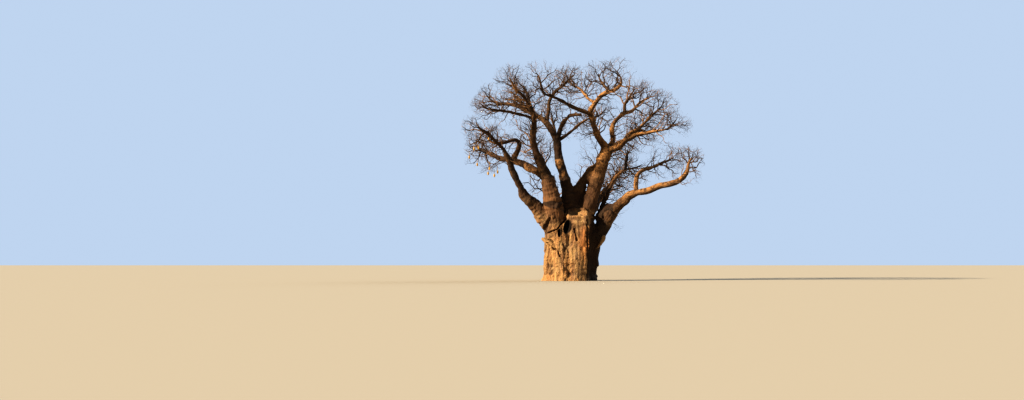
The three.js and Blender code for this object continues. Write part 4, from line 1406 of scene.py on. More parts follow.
@dataclass
class Timber:
    """The trunk and its boughs: stout stems grown together, with one skin of bark over all."""

    skeleton: Skeleton
    relief: BarkRelief = BarkRelief()
    tones: BarkTones = BarkTones()
    stout: float = 0.29  # a limb that starts with at least this radius is grown together with the trunk
    stout_rings: tuple[float, int] = (0.26, 28)  # the distance between its rings, and their corners
    slender_rings: tuple[float, int] = (0.16, 14)
    spur_rings: tuple[float, int] = (0.1, 16)
    coarse: float = 0.05  # the grain of the first skin, which is softened at the forks
    coarse_passes: int = 10
    fine: float = 0.034  # the grain of the last skin
    fine_passes: int = 3
    softness: float = 0.5  # how far each pass moves a corner towards its neighbours
    blend: float = 0.05  # how softly the bark of one limb passes into that of the next
    inner: float = 0.3  # how deep inside a limb its share stops growing
    tallest: float = 0.25  # the greatest height or depth of the relief
    deep: float = 0.14  # the range of heights over which painted shade darkens the bark into a hollow
    flare: float = 0.09  # how far the foot stands out
    flared: Zone = Zone(((Z, 0.5, 0.0),))
    rot_blur: float = 0.25
    burl_blur: float = 0.1
    ring_blurs: tuple[float, float] = (0.45, 0.12)  # a furrow runs round a burl between these
    ring_depth: float = 0.07
    ring_shade: float = 0.8  # how dark the painted shade in that furrow is, as a share of a split's
    raw_smooth: float = 0.6  # how much smoother raw wood is than bark
    knobs: tuple[Lump, ...] = (
        Lump((0.4, -1.0, 3.7), (0.85, 0.45, 0.8), lean=4),
        Lump((0.85, -1.08, 2.2), (0.6, 0.48, 2.4)),
        Lump((-0.75, -1.15, 1.2), (0.45, 0.32, 0.8)),
        Lump((1.3, 0.1, 7.1), (0.42, 0.28, 0.7), lean=30),
        Lump((2.32, 0.05, 4.6), (0.36, 0.36, 0.8), lean=42),
    )
    spurs: tuple[Spur, ...] = (
        Spur(((-0.75, -1.15, 1.95), (-1.3, -1.25, 2.35), (-1.62, -1.15, 2.62), (-1.88, -1.1, 2.78)),
             (0.22, 0.22, 0.17, 0.1)),
        Spur(((1.8, -0.35, 2.15), (1.95, -0.5, 2.4), (2.16, -0.62, 2.75), (2.22, -0.64, 2.95)),
             (0.06, 0.1, 0.15, 0.13)),
    )
    burls: tuple[Lump, ...] = (
        Lump((2.62, -0.3, 4.3), (0.36, 0.22, 0.36)),
    )
    cuts: tuple[Lump, ...] = (
        Lump((1.78, -1.15, 1.4), (0.72, 0.95, 3.3)),
        Lump((0.4, -1.5, 4.78), (1.3, 1.0, 0.55), lean=3),
    )
    hollows: tuple[Lump, ...] = (
        Lump((-0.26, -1.35, 3.56), (0.22, 0.55, 0.45), lean=10),
        Lump((-0.78, -1.45, 3.16), (0.1, 0.4, 0.27)),
    )
    trims: tuple[tuple[str, float], ...] = (
        ("upper_left_bough", 0.84), ("left_bough", 0.92), ("right_riser", 0.78), ("back_left_bough", 0.85),
    )
    grooves: tuple[Groove, ...] = (
        Groove(((-1.62, 3.15), (-1.2, 3.32), (-0.9, 3.42), (-0.6, 3.75), (-0.38, 4.05)), 0.07, 0.2),
        Groove(((-0.38, 4.05), (-0.2, 4.6), (-0.3, 5.2)), 0.09, 0.16),
        Groove(((0.2, 3.4), (0.28, 3.0), (0.37, 2.66)), 0.05, 0.12),
        Groove(((-1.62, 2.5), (-1.25, 2.18), (-0.9, 1.98), (-0.75, 1.6)), 0.06, 0.13),
        Groove(((-1.45, 4.1), (-1.6, 3.7), (-1.7, 3.3)), 0.13, 0.16),
        Groove(((1.06, 4.0), (1.07, 2.5), (1.1, 0.0)), 0.08, 0.12),
    )

    def __post_init__(self) -> None:
        """Gives each course its own space and seed."""
        self.spaces = {name: LimbSpace(course, seed)
                       for seed, (name, course) in enumerate(self.courses().items())}
        self.owners = {name: self._owner(name) for name in self.spaces}

    def courses(self) -> dict[str, Course]:
        """The courses of the trunk and its limbs, with the slenderer ones trimmed."""
        courses = self.skeleton.wood()
        for name, share in self.trims:
            courses[name] = replace(courses[name], radii=courses[name].radii * share)
        return courses

    def _owner(self, name: str) -> tuple[float, Part]:
        """Finds the piece that a limb belongs to.

        Args:
            name: The limb.

        Returns:
            From which knee on it is another piece than the fork, and which one.
        """
        if name in FREE_KNEES:
            return FREE_KNEES[name]
        if name in self.skeleton.trunk:
            return math.inf, Part.FORK
        carrier = next(plan.on for plan in LIMBS if plan.name == name)
        return -math.inf, self._owner(carrier)[1]

    def skin(self) -> Piece:
        """Grows the stems and limbs together, with plain bark.

        Returns:
            The skin over all of them.
        """
        courses = self.courses()
        thick = [name for name, course in courses.items() if course.radii[0] >= self.stout]
        thin = [name for name in courses if name not in thick]
        core = joined("skin", [swept(name, courses[name], *self.stout_rings) for name in thick]
                      + [knob.piece("knob") for knob in self.knobs + self.burls])
        modified(core, "REMESH", mode="VOXEL", voxel_size=self.coarse)
        modified(core, "SMOOTH", factor=self.softness, iterations=self.coarse_passes)
        for lump in self.cuts + self.hollows:
            hollow = lump.piece("hollow")
            modified(core, "BOOLEAN", operation="DIFFERENCE", solver="MANIFOLD", object=hollow)
            bpy.data.objects.remove(hollow)
        skin = joined("skin", [core] + [swept(name, courses[name], *self.slender_rings) for name in thin]
                      + [swept("spur", spur.course(), *self.spur_rings) for spur in self.spurs])
        modified(skin, "REMESH", mode="VOXEL", voxel_size=self.fine)
        modified(skin, "SMOOTH", factor=self.softness, iterations=self.fine_passes)
        LOG.info("skin of %d corners", len(skin.data.vertices))
        return skin

    def read_limbs(self, points: Array) -> tuple[Array, Array, Array, Array]:
        """Reads what the limbs near each point say of it.

        Args:
            points: The skin's corners.

        Returns:
            The height of the bark, the limb's radius, the place in its space and the part's number.
        """
        total, weight, best, girth = np.zeros((4, len(points)))
        grain = np.zeros((len(points), 3))
        part = np.zeros(len(points), int)
        fork, foot = PARTS.index(Part.FORK), PARTS.index(Part.FOOT)
        for name, space in self.spaces.items():
            rows = space.near(points)
            gap, local, radius, knee = space.read(points[rows])
            close = gap < space.reach
            rows, gap, local, radius, knee = (values[close] for values in (rows, gap, local, radius, knee))
            share = np.exp(-np.maximum(gap, -self.inner) / self.blend)
            total[rows] += share * self.relief.heights(local, points[rows], radius, space.seed)
            weight[rows] += share
            nearest = share > best[rows]
            rows = rows[nearest]
            best[rows], girth[rows], grain[rows] = share[nearest], radius[nearest], local[nearest]
            free_knee, free_part = self.owners[name]
            part[rows] = np.where(knee[nearest] > free_knee, PARTS.index(free_part), fork)
        part[(part == fork) & (points[:, 2] < FOOT_HEIGHT)] = foot
        return total / np.maximum(weight, TINY), girth, grain, part

    def marks(self, points: Array) -> Marks:
        """Finds the rot holes, the burls, the raw wood and the splits.

        Args:
            points: The skin's corners.

        Returns:
            The share of each mark at each corner.
        """
        outer, inner = (nearness(self.burls, points, blur) for blur in self.ring_blurs)
        ring = outer - inner
        splits = [groove.nearness(points) for groove in self.grooves]
        return Marks(
            rot=nearness(self.hollows, points, self.rot_blur),
            ring=ring,
            burl=nearness(self.burls, points, self.burl_blur),
            raw=np.max([spur.nearness(points) for spur in self.spurs], axis=0),
            split=np.maximum(np.max(splits, axis=0), self.ring_shade * ring),
            depth=np.max([groove.depth * split for groove, split in zip(self.grooves, splits)], axis=0),
        )

    def lay_bark(self, skin: Piece) -> Array:
        """Raises the bark's relief and keeps what the finish needs to know about it.

        Args:
            skin: The plain skin.

        Returns:
            The number of the part that each corner belongs to.
        """
        points = corner_array(skin)
        height, girth, grain, part = self.read_limbs(points)
        marks = self.marks(points)
        height += self.flare * self.flared(points)
        height = height * (1.0 - self.raw_smooth * marks.raw) - marks.depth - self.ring_depth * marks.ring
        raise_relief(skin, "ridges", np.clip(height, 0, None) * (1 - marks.rot), self.tallest)
        raise_relief(skin, "furrows", np.clip(-height, 0, None) * (1 - marks.rot), -self.tallest)
        facing = np.empty((len(points), 3), np.float32)
        skin.data.vertex_normals.foreach_get("vector", facing.ravel())
        # Painted shade darkens the bark where it sinks into furrows, and in the splits and the rot holes.
        sunken = np.clip(0.5 - height / self.deep, 0, 1)
        kept = {"hollow": np.maximum(sunken, np.maximum(marks.rot, marks.split)), "rot": marks.rot,
                "raw": marks.raw, "grain": grain, **self.tones.shares(points, girth, facing[:, 2], marks)}
        for name, values in kept.items():
            keep_values(skin, name, values)
        return part

    def parted(self, skin: Piece, part: Array) -> dict[Part, Piece]:
        """Cuts the skin flat at the ground and into closed pieces.

        Args:
            skin: The skin with its bark.
            part: The number of each corner's part.

        Returns:
            The piece of each part.
        """
        keep_values(skin, "part", part.astype(float))
        activate(skin)
        edit_all()
        bpy.ops.mesh.bisect(plane_co=(0, 0, 0), plane_no=(0, 0, 1), clear_inner=True, use_fill=True)
        bpy.ops.object.mode_set(mode="OBJECT")
        pieces = {}
        for number, name in enumerate(Part):
            if number < len(Part) - 1:
                self._separate(skin, number)
                piece = next(o for o in bpy.context.selected_objects if o is not skin)
            else:
                piece = skin
            pieces[name] = self._closed(piece, name.value)
        return pieces

    @staticmethod
    def _separate(skin: Piece, number: int) -> None:
        """Takes the faces of one part out of the skin.

        Args:
            skin: The skin, whose corners keep their part's number.
            number: The part's number.
        """
        activate(skin)
        mesh = skin.data
        values = np.empty(len(mesh.vertices))
        mesh.attributes["part"].data.foreach_get("value", values)
        loops = np.empty(len(mesh.loops), np.int32)
        mesh.loops.foreach_get("vertex_index", loops)
        starts = np.empty(len(mesh.polygons), np.int32)
        mesh.polygons.foreach_get("loop_start", starts)
        lowest = np.minimum.reduceat(np.round(values[loops]), starts)
        bpy.ops.object.mode_set(mode="EDIT")
        bpy.ops.mesh.select_mode(type="FACE")
        bpy.ops.mesh.select_all(action="DESELECT")
        bpy.ops.object.mode_set(mode="OBJECT")
        mesh.polygons.foreach_set("select", lowest == number)
        bpy.ops.object.mode_set(mode="EDIT")
        bpy.ops.mesh.separate(type="SELECTED")
        bpy.ops.object.mode_set(mode="OBJECT")

    @staticmethod
    def _closed(piece: Piece, name: str) -> Piece:
        """Closes a piece where it was cut, and shades it smooth except at sharp edges.

        Args:
            piece: The piece.
            name: Its new name.

        Returns:
            The same piece.
        """
        activate(piece)
        piece.name = piece.data.name = name
        bpy.ops.object.mode_set(mode="EDIT")
        bpy.ops.mesh.select_mode(type="EDGE")
        bpy.ops.mesh.select_all(action="DESELECT")
        bpy.ops.mesh.select_non_manifold(extend=False, use_wire=False, use_multi_face=False,
                                         use_non_contiguous=False, use_verts=False)
        bpy.ops.mesh.fill_holes(sides=0)
        bpy.ops.mesh.select_all(action="SELECT")
        bpy.ops.mesh.normals_make_consistent(inside=False)
        deselect()
        activate(piece)
        bpy.ops.object.shade_smooth_by_angle(angle=math.radians(SHARP_ANGLE))
        return piece

    def build(self, finish: Finish) -> None:
        """Makes the pieces of the trunk and the boughs.

        Args:
            finish: The bark's material.
        """
        skin = self.skin()
        part = self.lay_bark(skin)
        for name, piece in self.parted(skin, part).items():
            limbs = [limb for limb in self.skeleton.limbs if self.owners[limb][1] is name]
            piece.data.materials.clear()
            piece.data.materials.append(finish)
            on_trunk = name in (Part.FOOT, Part.FORK)
            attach(piece, BODY)
            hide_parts(*(["trunk"] if on_trunk else limbs))
            LOG.info("%s: %d faces", name.value, len(piece.data.polygons))


def corner_array(piece: Piece) -> Array:
    """A piece's corners as rows."""
    points = np.empty(len(piece.data.vertices) * 3)
    piece.data.vertices.foreach_get("co", points)
    return points.reshape(-1, 3)


def keep_values(piece: Piece, name: str, values: Array) -> None:
    """Keeps a number or a vector for each corner, where the finish can read it."""
    kind, field_name = ("FLOAT", "value") if values.ndim == 1 else ("FLOAT_VECTOR", "vector")
    attribute = piece.data.attributes.new(name, kind, "POINT")
    attribute.data.foreach_set(field_name, values.astype(np.float32).ravel())


def raise_relief(piece: Piece, name: str, height: Array, strength: float) -> None:
    """Moves a piece's corners out or in, by a Displace modifier that follows a vertex group.

    Args:
        piece: The piece.
        name: The vertex group's name.
        height: How far each corner goes, 0 or more.
        strength: The distance at full weight, below 0 to go inwards.
    """
    group = piece.vertex_groups.new(name=name)
    weights = np.clip(height / abs(strength), 0.0, 1.0)
    steps = np.round(weights * WEIGHT_STEPS).astype(int)
    order = np.argsort(steps, kind="stable")
    edges = np.flatnonzero(np.diff(steps[order], prepend=-1))
    for rows in np.split(order, edges[1:]):
        if steps[rows[0]]:
            group.add(rows.tolist(), steps[rows[0]] / WEIGHT_STEPS, "REPLACE")
    modified(piece, "DISPLACE", direction="NORMAL", mid_level=0.0, strength=strength, vertex_group=name)


@dataclass
class Crown:
    """The bare crown: in each mass, twigs that branch by one rule wherever they find room."""

    skeleton: Skeleton
    cad_box: list[list[float]]
    tones: int = 4
    stem_sides: int = 10
    overhang: float = 0.12  # how far the fine twigs may reach past the solids' box
    slim: float = 0.24  # a limb has shoots of its own where its radius is below this
    back: tuple[str, ...] = ("low_back_bough", "back_left_bough", "back_right_bough")
    back_slim: float = 0.38  # and a limb at the back where it is below this
    bare: tuple[str, ...] = ("low_right_arm", "centre_dark_branch", "back_middle_bough")  # but for these

    def __post_init__(self) -> None:
        """Lays out the masses' spaces and what their twigs keep clear of."""
        self.laterals: dict[str, Twigs] = {}
        self.spaces = {}
        self.box = tuple(np.array(corner) + sign * self.overhang
                         for corner, sign in zip(self.cad_box, (-1, 1)))
        for plan in MASSES:
            stem = self.skeleton.stems[plan.name]
            self.spaces[plan.name] = Space(stem.at(np.array(stem.share(plan.heart))), plan.reach, self.box)
        for a, b in product(self.spaces.values(), repeat=2):
            if a is not b and np.linalg.norm(a.centre - b.centre) < a.reach + b.reach:
                a.meet(b)
        wood = {**self.skeleton.limbs, **self.skeleton.stems}
        self.wood = {name: course.capsules() for name, course in wood.items()}

    def obstacles(self, name: str) -> Obstacles:
        """The limbs and the other masses' stems that come near a mass."""
        others = np.vstack([capsules for owner, capsules in self.wood.items() if owner != name])
        space = self.spaces[name]
        return Obstacles(others).near(space.centre, space.reach)

    def grow(self, name: str, seed: int) -> list[tuple[Growth, Twigs]]:
        """Grows the twigs of one mass: on its stem, on the limbs that pass through it, and on those.

        Args:
            name: The mass.
            seed: Its seed.

        Returns:
            Each batch of twigs with the rule that they follow.
        """
        space, obstacles = self.spaces[name], self.obstacles(name)
        laterals = sprout(Stem(self.skeleton.stems[name]), np.array([seed]), LEVELS[0].scaled(space.reach),
                          space, obstacles)
        self.laterals[name] = laterals
        families = [(LEVELS[0], laterals)]
        for number, course in enumerate(self.skeleton.limbs.values()):
            if Obstacles(course.capsules()).gaps(space.centre[None]).min() < space.reach:
                seeds = np.array([(seed * LIMB_SEEDS[0] + number * LIMB_SEEDS[1]) % SEED_CYCLE])
                sprigs = sprout(Stem(course), seeds, SPRIGS.scaled(space.reach), space, obstacles, True)
                families.append((SPRIGS, sprigs))
        levels = list(families)
        for _, parents in families:
            for growth in LEVELS[1:]:
                parents = sprout(parents, parents.seed, growth, space, obstacles)
                levels.append((growth, parents))
        return [(growth, twigs) for growth, twigs in levels if len(twigs)]

    def shoots(self, finishes: list[Finish]) -> None:
        """Makes the twigs that stand on the slim limbs between the masses, as one piece.

        Args:
            finishes: The tones of the twigs.
        """
        middle, reach = np.mean(self.cad_box, axis=0), float(np.max(self.cad_box))
        space = Space(middle, 2 * reach, self.box)
        obstacles = Obstacles(np.vstack(list(self.wood.values())))
        skin = Skin()
        for number, (name, course) in enumerate(self.skeleton.limbs.items()):
            seeds = np.array([(FIRST_SEED + number * SEED_STEP) % SEED_CYCLE])
            rule, finer, slim = SHOOTS, LEVELS[2:], self.slim
            if name in self.back:
                rule, finer, slim = BACK_SHOOTS, LEVELS[1:], self.back_slim
            twigs = sprout(Stem(course), seeds, rule, space, obstacles, True, slim)
            if name in self.bare or not len(twigs):
                continue
            skin.add_twigs(twigs, rule, self.tones)
            for growth in finer:
                twigs = sprout(twigs, twigs.seed, growth, space, obstacles)
                if len(twigs):
                    skin.add_twigs(twigs, growth, self.tones)
        piece = skin.mesh("limb_shoots", finishes)
        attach(piece, BODY)
        LOG.info("%s: %d triangles", piece.name, len(piece.data.polygons))

    def build(self, finishes: list[Finish]) -> None:
        """Makes one piece for each mass.

        Args:
            finishes: The tones of the twigs.
        """
        for number, plan in enumerate(MASSES):
            seed = FIRST_SEED + SEED_STEP * number
            skin = Skin()
            skin.add_stem(self.skeleton.stems[plan.name], self.stem_sides, number % self.tones)
            count = 0
            for growth, twigs in self.grow(plan.name, seed):
                skin.add_twigs(twigs, growth, self.tones)
                count += len(twigs)
            piece = skin.mesh(f"fine_{plan.name}", finishes)
            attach(piece, BODY)
            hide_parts(plan.name)
            LOG.info("%s: %d twigs, %d triangles", piece.name, count, len(piece.data.polygons))


Value = "Wire | float | tuple[float, ...]"


@dataclass(frozen=True)
class Wire:
    """A socket that a node gives out. Arithmetic on it adds Math or Vector Math nodes."""

    sheet: "Sheet"
    socket: bpy.types.NodeSocket

    def __add__(self, other: Value) -> "Wire":
        """The sum."""
        return self.sheet.sum("ADD", self, other)

    __radd__ = __add__

    def __rsub__(self, other: Value) -> "Wire":
        """The other less this one."""
        return self.sheet.sum("SUBTRACT", other, self)

    def __mul__(self, other: Value) -> "Wire":
        """The product."""
        return self.sheet.sum("MULTIPLY", self, other)

    def clipped(self, low: float, high: float) -> "Wire":
        """The share of the way from low to high, from 0 to 1."""
        return self.sheet.node("ShaderNodeMapRange", {"Value": self, "From Min": low, "From Max": high})


class Sheet:
    """The nodes of one material."""

    def __init__(self, name: str) -> None:
        """Starts a material with an empty set of nodes."""
        self.finish = bpy.data.materials.new(name)
        self.finish.use_nodes = True
        self.nodes = self.finish.node_tree.nodes
        self.links = self.finish.node_tree.links
        self.nodes.clear()

    def feed(self, socket: bpy.types.NodeSocket, value: Value) -> None:
        """Links a wire to a socket, or sets the socket's own value.

        Args:
            socket: The socket.
            value: The wire or the value.
        """
        if isinstance(value, Wire):
            self.links.new(value.socket, socket)
        elif socket.type == "RGBA" and isinstance(value, tuple):
            socket.default_value = (*value, 1.0)[:4]
        else:
            socket.default_value = value

    def node(self, kind: str, inputs: dict[str | int, Value], output: str | int = 0,
             **settings: object) -> Wire:
        """Adds any node.

        Args:
            kind: The node's type.
            inputs: What goes into its sockets.
            output: The socket to carry on from.
            settings: Its own settings.

        Returns:
            The wire from its output.
        """
        node = self.nodes.new(kind)
        for name, value in settings.items():
            setattr(node, name, value)
        for name, value in inputs.items():
            self.feed(node.inputs[name], value)
        return Wire(self, node.outputs[output])

    def sum(self, operation: str, first: Value, second: Value) -> Wire:
        """Adds a Math node, or a Vector Math node where a wire holds a vector, with two inputs."""
        wires = [value for value in (first, second) if isinstance(value, Wire)]
        if all(wire.socket.type == "VALUE" for wire in wires):
            return self.node("ShaderNodeMath", {0: first, 1: second}, operation=operation)
        return self.node("ShaderNodeVectorMath", {0: first, 1: second}, operation=operation)

    def mix(self, factor: Value, first: Value, second: Value) -> Wire:
        """A colour that goes from the first at 0 to the second at 1."""
        return self.node("ShaderNodeMix", {0: factor, 6: first, 7: second}, 2, data_type="RGBA")

    def attribute(self, name: str, output: str = "Fac") -> Wire:
        """A value kept on the mesh."""
        return self.node("ShaderNodeAttribute", {}, output, attribute_name=name)

    def noise(self, scale: float, detail: float, where: Wire) -> Wire:
        """Noise, from about 0.3 to 0.7."""
        return self.node("ShaderNodeTexNoise", {"Vector": where, "Scale": scale, "Detail": detail,
                                                "Roughness": NOISE_ROUGHNESS})

    def close(self, **inputs: Value) -> Finish:
        """Ends the sheet in a Principled shader.

        Args:
            inputs: Its inputs, named with _ for a space.

        Returns:
            The material.
        """
        names = {name.replace("_", " "): value for name, value in inputs.items()}
        out = self.nodes.new("ShaderNodeOutputMaterial")
        self.feed(out.inputs["Surface"], self.node("ShaderNodeBsdfPrincipled", names))
        return self.finish


@dataclass(frozen=True)
class Coat:
    """A tone that is laid over another colour, and how strongly at the most."""

    tone: Point
    strength: float = 1.0

    def over(self, colour: Value, share: Wire) -> Wire:
        """The colour with this coat over a share of it."""
        return share.sheet.mix(share * self.strength, colour, self.tone)


@dataclass(frozen=True)
class Speckle:
    """Noise that is clipped to a share of 0 to 1."""

    scale: float
    detail: float
    low: float
    high: float

    def at(self, place: Wire) -> Wire:
        """The share at each place."""
        return place.sheet.noise(self.scale, self.detail, place).clipped(self.low, self.high)


@dataclass(frozen=True)
class BarkFinish:
    """Dry baobab bark: warm grey-brown, ochre on the ridges and dark brown painted shade in the furrows,
    with painted shadows and sunlight in places.
    """

    warm: Point = (0.32, 0.165, 0.07)
    grey: Point = (0.22, 0.14, 0.09)
    patches: Speckle = Speckle(0.9, 4.0, 0.4, 0.62)
    streak: Coat = Coat((0.48, 0.335, 0.15), 0.7)
    streak_range: tuple[float, float] = (0.35, 0.7)
    speck: Coat = Coat((0.32, 0.165, 0.07), 0.35)
    specks: Speckle = Speckle(14.0, 4.0, 0.42, 0.68)
    ruddy: Coat = Coat((0.125, 0.062, 0.031), 0.78)
    rust: Coat = Coat((0.27, 0.115, 0.038), 0.75)
    # The limbs' bark in two copies: near black as painted shade, and orange as painted sunlight.
    limb: Point = (0.03, 0.021, 0.016)
    fleck: Coat = Coat((0.20, 0.10, 0.04), 0.45)
    flecks: Speckle = Speckle(6.5, 3.0, 0.5, 0.62)
    sunned: Point = (0.37, 0.20, 0.08)
    blotch: Coat = Coat((0.028, 0.018, 0.013), 0.9)
    blotches: Speckle = Speckle(6.0, 4.0, 0.49, 0.6)
    slim: float = 0.9  # how strongly a slim limb has the limbs' painted shaded and sunlit bark
    # Painted shade, laid where shadows fell on the tree.
    sombre: Coat = Coat((0.027, 0.02, 0.016), 0.85)
    # Painted shade in the furrows, splits and holes.
    hollow: Coat = Coat((0.06, 0.033, 0.02), 0.85)
    hollow_range: tuple[float, float] = (0.45, 1.0)
    crack: Coat = Coat((0.06, 0.033, 0.02), 0.3)
    crack_scale: float = 9.0
    crack_width: float = 0.12
    crack_draw: Point = (1.0, 1.0, 0.22)  # how close cracks lie along the grain
    raw: Coat = Coat((0.42, 0.26, 0.12), 0.7)
    # The rot holes painted almost black, as their deep shade.
    rot: Coat = Coat((0.012, 0.008, 0.006))
    strands: tuple[float, float] = (6.0, 5.0)  # the scale and the detail of the noise
    strand_draw: Point = (1.0, 1.0, 0.14)
    grit: tuple[float, float] = (22.0, 5.0)
    knobs: Speckle = Speckle(8.0, 3.0, 0.4, 0.62)
    least_knobs: float = 0.25  # how strong the knobs are where the bark is plain,
    more_knobs: float = 0.9  # and how much stronger on the knobbly left side
    strand_height: float = 0.5
    crack_height: float = 0.35
    grit_height: float = 0.35
    bump: tuple[float, float] = (0.65, 0.045)  # its strength and its height
    roughness: float = 0.9
    gloss: float = 0.2

    def material(self) -> Finish:
        """Makes the material."""
        sheet = Sheet("bark")
        place = sheet.node("ShaderNodeTexCoord", {}, "Object")
        grain = sheet.attribute("grain", "Vector")
        strands = sheet.noise(*self.strands, grain * self.strand_draw)
        cells = {"Vector": grain * self.crack_draw, "Scale": self.crack_scale}
        cracks = sheet.node("ShaderNodeTexVoronoi", cells, feature="DISTANCE_TO_EDGE")
        cracks = cracks.clipped(0.0, self.crack_width)
        colour = sheet.mix(self.patches.at(place), self.warm, self.grey)
        colour = self.streak.over(colour, strands.clipped(*self.streak_range))
        colour = self.speck.over(colour, self.specks.at(place))
        colour = self.ruddy.over(colour, sheet.attribute("ruddy"))
        colour = self.rust.over(colour, sheet.attribute("rust"))
        # The limbs' bark: its painted shaded copy and its painted sunlit copy.
        painted_shaded_limb = self.fleck.over(self.limb, self.flecks.at(place))
        painted_sunlit_limb = self.blotch.over(self.sunned, self.blotches.at(place))
        limb = sheet.mix(sheet.attribute("sunned"), painted_shaded_limb, painted_sunlit_limb)
        colour = sheet.mix(sheet.attribute("slim") * self.slim, colour, limb)
        # Painted shadows over the bark.
        colour = self.sombre.over(colour, sheet.attribute("sombre"))
        # Painted shade where the bark sinks, and in the splits and holes.
        colour = self.hollow.over(colour, sheet.attribute("hollow").clipped(*self.hollow_range))
        colour = self.crack.over(colour, 1.0 - cracks)
        colour = self.raw.over(colour, sheet.attribute("raw"))
        # Painted deep shade inside the rot holes.
        colour = self.rot.over(colour, sheet.attribute("rot"))
        knobs = self.least_knobs + sheet.attribute("knobbly") * self.more_knobs
        grit = sheet.noise(*self.grit, place)
        height = strands * self.strand_height + cracks * self.crack_height + grit * self.grit_height
        height = height + self.knobs.at(place) * knobs
        bump = sheet.node("ShaderNodeBump", {"Height": height, "Strength": self.bump[0],
                                             "Distance": self.bump[1]})
        return sheet.close(Base_Color=colour, Roughness=self.roughness, Normal=bump,
                           Specular_IOR_Level=self.gloss)


@dataclass(frozen=True)
class TwigFinish:
    """Twig bark in one of several plain tones."""

    tones: tuple[Point, ...] = ((0.10, 0.06, 0.034), (0.04, 0.027, 0.02), (0.055, 0.036, 0.026),
                                (0.24, 0.135, 0.062))
    roughness: float = 0.85
    gloss: float = 0.25

    def materials(self) -> list[Finish]:
        """Makes one material for each tone."""
        return [Sheet(f"twig_bark_{number}").close(Base_Color=tone, Roughness=self.roughness,
                                                   Specular_IOR_Level=self.gloss)
                for number, tone in enumerate(self.tones)]


@dataclass(frozen=True)
class PodFinish:
    """The velvety shell of a ripe pod."""

    shell: Point = (0.45, 0.26, 0.04)
    stalk: Point = (0.16, 0.11, 0.07)
    shell_roughness: float = 0.75
    shell_sheen: float = 0.3
    stalk_roughness: float = 0.85

    def materials(self) -> list[Finish]:
        """Makes the shell's and the stalk's materials."""
        shell = Sheet("pod_shell").close(Base_Color=self.shell, Roughness=self.shell_roughness,
                                         Sheen_Weight=self.shell_sheen)
        stalk = Sheet("pod_stalk").close(Base_Color=self.stalk, Roughness=self.stalk_roughness)
        return [shell, stalk]


@dataclass
class Pods:
    """The pods that hang on long stalks from the lowest twigs of the crown's left side."""

    crown: Crown
    length: float = 0.24
    thickness: float = 0.12
    stalk: float = 0.25
    stalk_radii: tuple[float, float] = (0.0128, 0.008)  # at the pod and at the twig
    grip: float = 0.03  # how far the stalk runs into the pod and the twig together
    place: float = 0.7  # how far along its twig a pod hangs
    counts: tuple[tuple[str, int], ...] = (
        ("left_hanging_twigs", 4), ("left_twigs", 2), ("elbow_twigs", 3), ("low_left_twigs", 1),
    )

    def _pod(self) -> Piece:
        """One pod under its stalk, hanging from the origin."""
        deselect()
        bpy.ops.mesh.primitive_uv_sphere_add(segments=12, ring_count=10, radius=0.5)
        pod = bpy.context.object
        edit_all()
        bpy.ops.transform.resize(value=(self.thickness, self.thickness, self.length))
        bpy.ops.transform.translate(value=(0, 0, -self.stalk - self.length / 2))
        deselect()
        bpy.ops.mesh.primitive_cone_add(vertices=6, radius1=self.stalk_radii[0],
                                        radius2=self.stalk_radii[1], depth=self.stalk + self.grip)
        stalk = bpy.context.object
        edit_all()
        bpy.ops.transform.translate(value=(0, 0, -self.stalk / 2))
        deselect()
        for part, number in ((pod, 0), (stalk, 1)):
            part.data.materials.append(None)
            part.data.materials.append(None)
            for face in part.data.polygons:
                face.material_index = number
        return joined("pod", [pod, stalk])

    def build(self, finishes: list[Finish]) -> None:
        """Hangs copies of the pod from the twigs that end lowest, as one piece.

        Args:
            finishes: The shell's and the stalk's materials.
        """
        model = self._pod()
        for slot_number, finish in enumerate(finishes):
            model.data.materials[slot_number] = finish
        copies = []
        for name, count in self.counts:
            twigs = self.crown.laterals[name]
            tips = twigs.at(np.full((len(twigs), 1), self.place))[:, 0]
            for tip in tips[np.argsort(tips[:, 2])][:count]:
                copy = model.copy()
                copy.data = model.data.copy()
                copy.data.transform(Matrix.Translation(tip))
                bpy.context.scene.collection.objects.link(copy)
                copies.append(copy)
        bpy.data.objects.remove(model)
        pods = joined("pods", copies)
        activate(pods)
        bpy.ops.object.shade_smooth()
        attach(pods, BODY)
        LOG.info("pods: %d", len(copies))


@dataclass(frozen=True)
class Lamp:
    """A light from afar: how far it stands to the left of the camera, its climb, power and size."""

    name: str
    bearing: float
    climb: float
    power: float
    colour: Point
    size: float

    def build(self) -> None:
        """Sets it up."""
        sun = bpy.data.lights.new(self.name, "SUN")
        sun.energy = self.power
        sun.color = self.colour
        sun.angle = math.radians(self.size)
        lamp = bpy.data.objects.new(self.name, sun)
        lamp.rotation_euler = (math.radians(90 - self.climb), 0, math.radians(-self.bearing))
        bpy.context.scene.collection.objects.link(lamp)


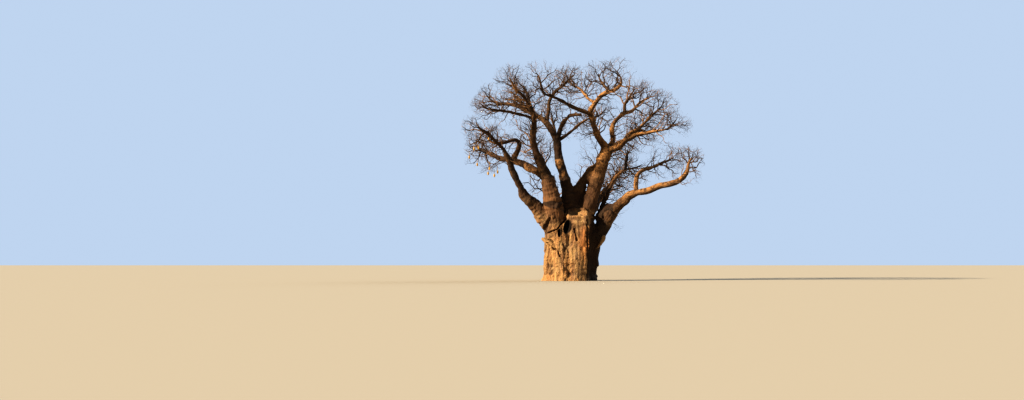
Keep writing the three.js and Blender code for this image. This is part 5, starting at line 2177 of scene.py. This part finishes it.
@dataclass(frozen=True)
class Studio:
    """The camera, where the photographer stood, a low warm key light, a pale surround and floor."""

    camera: Point = (-3.886, -75.0, 1.072)
    pitch: float = 3.3
    lens: float = 39.35
    sensor: float = 36.0
    farthest: float = 4000.0
    view: str = "Standard"
    look: str = "High Contrast"
    lamps: tuple[Lamp, ...] = (
        Lamp("key", 66.0, 24.0, 7.9, (1.0, 0.84, 0.63), 2.5),
        Lamp("rim", -140.0, 45.0, 1.3, (0.86, 0.92, 1.0), 40.0),
    )
    surround: Point = (0.66, 0.80, 1.0)
    surround_power: float = 0.27
    backdrop_power: float = 0.62  # how bright the camera sees the surround
    floor_half: float = 1500.0
    floor_tone: Point = (0.39, 0.35, 0.28)

    def build(self) -> None:
        """Sets everything up."""
        self._camera()
        for lamp in self.lamps:
            lamp.build()
        self._surround()
        self._floor()

    def _camera(self) -> None:
        """Places the camera and chooses how the picture is developed."""
        scene = bpy.context.scene
        camera = bpy.data.cameras.new("camera")
        camera.lens = self.lens
        camera.sensor_width = self.sensor
        camera.clip_end = self.farthest
        eye = bpy.data.objects.new("camera", camera)
        eye.location = self.camera
        eye.rotation_euler = (math.radians(90 + self.pitch), 0, 0)
        scene.collection.objects.link(eye)
        scene.camera = eye
        scene.view_settings.view_transform = self.view
        scene.view_settings.look = self.look

    def _surround(self) -> None:
        """Lights the scene from all round, and shows the camera a paler surround."""
        world = bpy.data.worlds.new("surround")
        world.use_nodes = True
        tree = world.node_tree
        choice = tree.nodes.new("ShaderNodeMixShader")
        tree.links.new(tree.nodes.new("ShaderNodeLightPath").outputs["Is Camera Ray"], choice.inputs[0])
        backgrounds = (tree.nodes["Background"], tree.nodes.new("ShaderNodeBackground"))
        powers = (self.surround_power, self.backdrop_power)
        for number, (background, power) in enumerate(zip(backgrounds, powers), 1):
            background.inputs["Color"].default_value = (*self.surround, 1.0)
            background.inputs["Strength"].default_value = power
            tree.links.new(background.outputs[0], choice.inputs[number])
        tree.links.new(choice.outputs[0], tree.nodes["World Output"].inputs["Surface"])
        bpy.context.scene.world = world

    def _floor(self) -> None:
        """Lays the floor, marked as a backdrop."""
        deselect()
        bpy.ops.mesh.primitive_plane_add(size=2 * self.floor_half, location=(0, 0, 0))
        floor = bpy.context.object
        floor.name = "floor"
        floor.data.materials.append(Sheet("floor").close(Base_Color=self.floor_tone, Roughness=1.0,
                                                         Specular_IOR_Level=0.0))
        floor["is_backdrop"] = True


def corners(box: tuple[Vector, Vector]) -> list[list[float]]:
    """A box's two corners as plain lists."""
    return [list(corner) for corner in box]


def main() -> None:
    """Builds the tree, piece by piece, and sets up the studio."""
    logging.basicConfig(level=logging.INFO, format="%(message)s")
    cad_box = corners(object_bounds())
    skeleton = Skeleton()
    Timber(skeleton).build(BarkFinish().material())
    crown, twig_finishes = Crown(skeleton, cad_box), TwigFinish().materials()
    crown.build(twig_finishes)
    crown.shoots(twig_finishes)
    Pods(crown).build(PodFinish().materials())
    Studio().build()
    visual_box = corners(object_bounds())
    LOG.info("box of the solids %s, of the looks %s", cad_box, visual_box)


if __name__ == "__main__":
    main()
